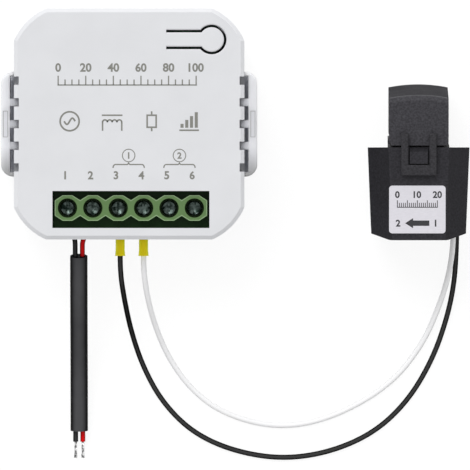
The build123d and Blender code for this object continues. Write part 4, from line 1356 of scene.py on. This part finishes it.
@dataclass
class SupplyCable:
    """The two-core supply cable: jacket, cores and the bare strands at its far end. Sizes in millimetres."""

    jacket_x: float = -10.15
    jacket_diameter: float = 3.5
    jacket_length: float = 37.2
    cores: tuple[Core, ...] = (Core("black", -1, -11.45, 50.3), Core("red", 1, -8.17, 50.5))
    core_diameter: float = 1.0
    core_offset: float = 0.72
    strand_length: float = 3.3
    strand_tuck: float = 0.3
    strand_radius: float = 0.09
    strand_pitch: float = 1.5
    strand_splay: float = 0.45
    outer_strands: int = 6
    strand_rings: int = 40
    strand_sides: int = 10

    def jacket_points(self) -> list[Point]:
        """The jacket's route."""
        steps = [(-26.4, 13.46), (-35.4, 11.0), (-43.7, 6.7), (-52.3, 3.1), (-61.5, 1.8)]
        return [(self.jacket_x, y, z) for y, z in steps]

    def core_points(self, core: Core) -> list[Point]:
        """One core's route, from its terminal through the jacket to its bare end.

        Args:
            core: The core.

        Returns:
            The route's points.
        """
        x, z = self.jacket_x + core.side * self.core_offset, WIRE_HEIGHT
        near = [(core.terminal, -15.6, z), (core.terminal, -21.1, z), (x, -23.3, z), (x, -25.35, z)]
        far = [(x, -35.4, 11.0), (x, -43.7, 6.7), (x, -52.3, 3.1), (x, -63.7, 1.49)]
        return near + far

    def strands(self, core: Core) -> bpy.types.Object:
        """The bare strands of one core: wires laid round one more, parting a little at their ends.

        Formula: each of the n outer wires starts a share 1 / n of a turn on from the one before and makes 1
        turn for each pitch of travel, at the lay radius from the axis, which widens with the fourth power
        of the travel's share. Each ring is the wire's centre plus its radius times (cos t, sin t) in the
        plane across the axis.

        Args:
            core: The core that they belong to.

        Returns:
            The piece.
        """
        before, start = np.array(self.core_points(core)[-2:])
        axis = (start - before) / np.linalg.norm(start - before)
        across = np.array([1.0, 0.0, 0.0])
        up = np.cross(axis, across)
        share = np.linspace(0, 1, self.strand_rings)
        travel = share * (self.strand_length + self.strand_tuck) - self.strand_tuck
        turn = np.linspace(0, 2 * np.pi, self.strand_sides, endpoint=False)
        wires = Bundle()
        for wire in range(self.outer_strands + 1):
            lay = 0.0 if wire == self.outer_strands else 2 * self.strand_radius
            lay = lay * (1 + self.strand_splay * share**4)
            angle = 2 * np.pi * (wire / self.outer_strands + travel / self.strand_pitch)
            u = (lay * np.cos(angle))[:, None] + self.strand_radius * np.cos(turn)
            v = (lay * np.sin(angle))[:, None] + self.strand_radius * np.sin(turn)
            rings = start + travel[:, None, None] * axis + u[..., None] * across + v[..., None] * up
            wires.add(skin(rings * MM))
        name, slot = f"bare_strands_{core.colour}", "tinned_copper"
        piece = add_piece(name, wires.joined(), FINISHES[slot])
        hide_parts("supply_strands")
        return piece

    def build(self) -> None:
        """Lays the jacket and both cores, with their strands."""
        Cable(
            "supply_jacket",
            "jacket_pvc",
            self.jacket_points(),
            self.jacket_diameter,
            self.jacket_length,
            FarEnd.BARE,
            Stiffness.STIFF,
        ).build()
        for core in self.cores:
            Cable(
                f"supply_core_{core.colour}",
                f"core_{core.colour}",
                self.core_points(core),
                self.core_diameter,
                core.length,
                FarEnd.BARE,
                Stiffness.MEDIUM,
            ).build((self.strands(core),))


@dataclass
class ClampLeads:
    """The two thin leads from the yellow sleeves to the clamp's foot. Sizes in millimetres."""

    black_start: float = -1.85
    black_diameter: float = 1.05
    black_length: float = 126.4
    white_start: float = 2.83
    white_diameter: float = 1.1
    white_length: float = 110.3

    def black_points(self) -> list[Point]:
        """The black lead's route."""
        x, z = self.black_start, WIRE_HEIGHT
        return [
            (x, -26.4, z), (x, -29.6, z), (-1.1, -34.8, 10.9), (0.3, -41.6, 5.4), (2.7, -48.8, 1.5),
            (6.6, -55.9, 0.56), (12.6, -61.9, 0.56), (20.6, -65.6, 0.56), (30.5, -67.3, 0.56),
            (40.3, -65.9, 0.56), (49.3, -61.9, 0.56), (56.1, -55.4, 0.56), (61.0, -47.0, 0.56),
            (63.9, -38.6, 0.7), (65.3, -31.6, 2.2), (65.70, -24.353, 3.583), (65.70, -21.769, 3.871),
        ]

    def white_points(self) -> list[Point]:
        """The white lead's route."""
        x, z = self.white_start, WIRE_HEIGHT
        return [
            (x, -26.4, z), (x, -29.3, z), (3.5, -34.3, 10.9), (5.1, -40.5, 5.8), (7.9, -47.1, 1.8),
            (12.3, -53.2, 0.58), (18.4, -57.9, 0.58), (27.6, -60.7, 0.58), (36.4, -60.2, 0.58),
            (45.4, -56.7, 0.58), (53.5, -51.2, 0.58), (59.2, -43.6, 0.58), (62.4, -36.1, 1.5),
            (64.2, -30.0, 3.5), (65.00, -24.475, 4.676), (65.00, -21.891, 4.964),
        ]

    def build(self) -> None:
        """Lays both leads and dresses the sleeves and ferrules that end them."""
        black = ("core_black", self.black_points(), self.black_diameter, self.black_length)
        white = ("lead_white", self.white_points(), self.white_diameter, self.white_length)
        for node, lead in (("clamp_lead_black", black), ("clamp_lead_white", white)):
            Cable(node, *lead, FarEnd.OBJECT, Stiffness.LIMP).build()
        dress("ferrule_sleeves", "ferrule_tubes")


@dataclass
class ModuleCase:
    """The casing, the button's tongue and the print on the face. Sizes in metres."""

    line: float = 0.24 * MM
    number_height: float = 1.65 * MM
    number_y: float = -10.25 * MM
    mark_shift: float = -0.45 * MM
    brace_y: float = -8.1 * MM
    brace_half: float = 3.15 * MM
    brace_turn: float = 0.5 * MM
    brace_drop: float = 0.75 * MM
    brace_peak: float = 0.3 * MM
    brace_peak_half: float = 0.1
    brace_end: float = 0.995
    brace_points: int = 81
    pair_y: float = -6.3 * MM
    pair_height: float = 1.3 * MM
    pair_ring: float = 1.25 * MM
    pair_line: float = 0.18 * MM
    scale_ends: Place = (-14.2 * MM, 13.4 * MM)
    scale_base: float = 7.8 * MM
    symbols: tuple[Symbol, ...] = (
        SourceSymbol(-11.9 * MM),
        CoilSymbol(-3.4 * MM),
        LoadSymbol(4.5 * MM),
        BarsSymbol(12.0 * MM),
    )

    def build(self) -> None:
        """Dresses the shells and prints the face."""
        dress("front_cover", "button_tongue", "rear_housing")
        self.print_face()

    def print_face(self) -> None:
        """Plain figures, braces, a scale and four circuit symbols, in one layer of ink."""
        ink = InkLayer()
        terminals = [middle[0] + self.mark_shift for middle in screw_middles()]
        for number, x in enumerate(terminals, 1):
            ink.figures(str(number), self.number_height, (x, self.number_y))
        for number in (1, 2):
            middle = sum(terminals[2 * number : 2 * number + 2]) / 2
            self.brace(ink, middle)
            ink.stroke(circle(self.pair_ring, (middle, self.pair_y)), self.pair_line, looped=True)
            ink.figures(str(number), self.pair_height, (middle, self.pair_y))
        self.scale().draw(ink)
        for symbol in self.symbols:
            symbol.draw(ink)
        face = Matrix.Translation((0, 0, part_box("front_cover")[1].z))
        ink.print_on("face_print", face, FACE_INK)

    def scale(self) -> PrintedScale:
        """The face's scale, from 0 to 100."""
        return PrintedScale(
            *self.scale_ends,
            self.scale_base,
            self.line,
            short=1.1 * MM,
            long=1.85 * MM,
            long_every=4,
            figure_rise=3.5 * MM,
            figure_height=1.75 * MM,
            figure_every=4,
            worth=5,
        )

    def brace(self, ink: InkLayer, middle: float) -> None:
        """A brace over two terminals: flat arms, ends that turn down, and a small peak.

        Formula: with u from -1 to 1 along the arm, the height is the arm's line, less the end's drop times
        (1 - sqrt(1 - e squared)), where e runs from 0 to the brace end, a little under 1, over the last part
        of the arm, plus the peak's height times the square of how near u is to the middle.

        Args:
            ink: The face's ink.
            middle: The brace's middle along X.
        """
        across = np.linspace(-1, 1, self.brace_points)
        end = np.clip((np.abs(across) - 1) * self.brace_half / self.brace_turn + 1, 0, self.brace_end)
        near = np.clip(1 - np.abs(across) / self.brace_peak_half, 0, 1)
        height = self.brace_peak * near**2 - self.brace_drop * (1 - np.sqrt(1 - end**2))
        points = np.stack([middle + across * self.brace_half, self.brace_y + height], axis=1)
        ink.stroke(points, self.line)


@dataclass
class ClipBracket:
    """The clip bracket with its ears, its rail latch and the latch's spring. Sizes in metres."""

    legs: int = 6
    strip: float = 0.3 * MM
    turn_steps: int = 9
    recess_x: float = 24.75 * MM
    recess_half: Place = (0.5 * MM, 2.65 * MM)
    recess_depth: float = 0.15 * MM
    recess_line: float = 0.14 * MM

    def build(self) -> None:
        """Dresses the bracket and its latch, folds the spring and shades the ears' recesses."""
        dress("rail_bracket", "rail_latch")
        self.fold_spring()
        self.shade_recesses()

    def shade_recesses(self) -> None:
        """A fine darker line of painted shade in the corner of the shallow recess on each ear."""
        half = np.array(self.recess_half) - self.recess_line / 2
        corners = np.array([(-1, -1), (1, -1), (1, 1), (-1, 1)]) * half
        lines = InkLayer()
        for side in (-1, 1):
            lines.stroke(corners + (side * self.recess_x, 0), self.recess_line, looped=True)
        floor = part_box("rail_bracket")[1].z - self.recess_depth
        lines.print_on("ear_recess_shade_lines", Matrix.Translation((0, 0, floor)), RECESS_SHADE)

    def spring_line(self, low: np.ndarray, high: np.ndarray) -> np.ndarray:
        """The line that the spring's strip follows, from above.

        Formula: the legs lie across X, a pitch apart along Y, and half turns of radius pitch / 2 join
        their ends by turns.

        Args:
            low: The lowest corner of the spring's box.
            high: Its highest corner.

        Returns:
            Points by 2, from the end at high Y.
        """
        half_width, length = (high[0] - low[0]) / 2, high[1] - low[1]
        pitch = (length - self.strip) / (self.legs - 1)
        reach = half_width - self.strip / 2 - pitch / 2
        turn = arc(pitch / 2, math.pi / 2, -math.pi / 2, self.turn_steps) + (reach, 0.0)
        step = np.arange(self.legs - 1)
        side = np.where(step % 2 == 0, 1.0, -1.0)
        level = high[1] - self.strip / 2 - pitch * (step + 0.5)
        turns = turn[None] * np.stack([side, np.ones_like(side)], axis=-1)[:, None]
        turns[..., 1] += level[:, None]
        first = (-half_width, level[0] + pitch / 2)
        last = (-side[-1] * half_width, level[-1] - pitch / 2)
        middle = ((low + high) / 2)[0]
        return np.concatenate([[first], turns.reshape(-1, 2), [last]]) + (middle, 0.0)

    def fold_spring(self) -> None:
        """A flat zigzag strip in the place of the latch's spring.

        Formula: each ring has four corners, half the strip's thickness either side of the line.
        """
        low, high = (np.array(corner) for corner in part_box("latch_spring"))
        path = self.spring_line(low, high)
        run = np.append(0, np.cumsum(np.linalg.norm(np.diff(path, axis=0), axis=1)))
        along = np.gradient(path, run, axis=0)
        along /= np.linalg.norm(along, axis=1, keepdims=True)
        across = np.stack([-along[:, 1], along[:, 0]], axis=-1) * self.strip / 2
        rings = np.empty((len(path), 4, 3))
        rings[..., :2] = path[:, None] + across[:, None] * np.array([-1, 1, 1, -1])[:, None]
        rings[..., 2] = (low[2], low[2], high[2], high[2])
        spring = add_piece("latch_zigzag", skin(rings), FINISHES["spring_steel"])
        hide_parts("latch_spring")
        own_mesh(spring)


@dataclass
class TerminalRow:
    """The terminal block with its screws, cages and contact bars. Sizes in metres."""

    flat_half: float = 0.95 * MM
    collar_half: float = 2.55 * MM
    waist_half: float = 1.55 * MM
    edge_line: float = 0.18 * MM

    def build(self) -> None:
        """Dresses the block and what it holds, and paints a highlight along the collars' edges."""
        dress("terminal_block", "contact_bars")
        for number in range(1, TERMINALS + 1):
            dress(f"terminal_screw_{number}", f"terminal_cage_{number}")
        self.lighten_edges()

    def lighten_edges(self) -> None:
        """A fine paler line of painted highlight along the outer edge of the row of collars.

        Formula: each collar adds its waist and the two ends of its flat, above the screws from left to
        right and below them from right to left.
        """
        screws = [middle[:2] for middle in screw_middles()]
        inset = self.edge_line / 2
        waist, flat = self.waist_half - inset, self.collar_half - inset
        step = np.array([(-TERMINAL_PITCH / 2, waist), (-self.flat_half, flat), (self.flat_half, flat)])
        above = np.concatenate([step + screw for screw in screws])
        above[0, 0] += inset
        end = screws[-1] + (TERMINAL_PITCH / 2 - inset, waist)
        upper = np.vstack([above, end])
        lower = upper[::-1] * (1, -1) + (0, 2 * screws[0][1])
        lines = InkLayer()
        lines.stroke(np.vstack([upper, lower])[::-1].copy(), self.edge_line, looped=True)
        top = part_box("terminal_block")[1].z
        lines.print_on("collar_edge_highlight_lines", Matrix.Translation((0, 0, top)), BLOCK_EDGE_HIGHLIGHT)


@dataclass
class Electronics:
    """The boards and the components inside the casing."""

    def build(self) -> None:
        """Dresses the boards and components."""
        dress("main_board", "radio_board", "radio_shield", "metering_chip", "bridge_rectifier")
        dress("burden_resistors", "supply_transformer", "supply_capacitors", "surge_varistor")
        dress("fuse_resistor", "tact_switch", "tact_plunger", "status_led")


@dataclass
class CurrentClamp:
    """The split-core clamp and its label. Sizes in metres, in the clamp's own frame."""

    label_x: float = -0.3 * MM
    label_top: float = 10.92 * MM
    ink_thickness: float = 0.01 * MM
    figure_height: float = 1.4 * MM
    scale_half: float = 4.0 * MM
    scale_base: float = -12.25 * MM
    scale_line: float = 0.16 * MM
    arrow_y: float = -15.45 * MM
    arrow_tip: float = -2.45 * MM
    arrow_back: float = -0.85 * MM
    arrow_end: float = 2.4 * MM
    arrow_half: float = 1.02 * MM
    shaft_half: float = 0.54 * MM
    arrow_figures: tuple[tuple[str, float], ...] = (("2", -3.85 * MM), ("1", 3.65 * MM))

    def place(self) -> Matrix:
        """The clamp's own frame in the shared one.

        Returns:
            The matrix: its origin is the cable hole's middle, turned so that the hinge lies behind it.
        """
        mounts = {mount["name"]: mount for mount in frame["record"]["mounts"]}
        joints = {joint["name"]: joint for joint in frame["joints"]}
        hole = Vector(mounts["cable_hole"]["pos_m"])
        back = Vector(joints["cap_hinge"]["pos_m"]) - hole
        return Matrix.Translation(hole) @ Matrix.Rotation(math.atan2(back.y, -back.z), 4, "X")

    def build(self) -> None:
        """Dresses the clamp's pieces and prints its label."""
        dress("clamp_base", "clamp_foot", "hinge_pin", "lead_grommet")
        dress("clamp_cap", finish=CAP_SHADED_NYLON)
        dress("latch_loop", finish=LOOP_SHADED_NYLON)
        dress("lower_core", "upper_core", "core_spring", "winding_bobbin", "winding", "direction_label")
        self.print_label()

    def scale(self) -> PrintedScale:
        """The label's scale, from 0 to 20."""
        return PrintedScale(
            self.label_x - self.scale_half,
            self.label_x + self.scale_half,
            self.scale_base,
            self.scale_line,
            short=0.9 * MM,
            long=1.4 * MM,
            long_every=5,
            figure_rise=2.55 * MM,
            figure_height=self.figure_height,
            figure_every=10,
        )

    def arrow(self) -> list[Place]:
        """The outline of an arrow that points to lower X, from its tip."""
        return [
            (self.arrow_tip, 0),
            (self.arrow_back, -self.arrow_half),
            (self.arrow_back, -self.shaft_half),
            (self.arrow_end, -self.shaft_half),
            (self.arrow_end, self.shaft_half),
            (self.arrow_back, self.shaft_half),
            (self.arrow_back, self.arrow_half),
        ]

    def print_label(self) -> None:
        """A plain scale and an arrow between two figures."""
        ink = InkLayer(self.ink_thickness)
        self.scale().draw(ink)
        for figure, x in self.arrow_figures:
            ink.figures(figure, self.figure_height, (self.label_x + x, self.arrow_y))
        ink.area(np.array(self.arrow()) + (self.label_x, self.arrow_y))
        plane = self.place() @ Matrix.Translation((0, 0, self.label_top))
        ink.print_on("label_print", plane, LABEL_INK)


def main() -> None:
    """Builds the scene: the studio and the cables first, then each sub-assembly."""
    logging.basicConfig(level=logging.INFO, format="%(message)s")
    parts = (
        Studio(),
        SupplyCable(),
        ClampLeads(),
        ModuleCase(),
        ClipBracket(),
        TerminalRow(),
        Electronics(),
        CurrentClamp(),
    )
    for part in parts:
        part.build()
    bpy.context.scene.view_settings.view_transform = "Standard"


if __name__ == "__main__":
    main()
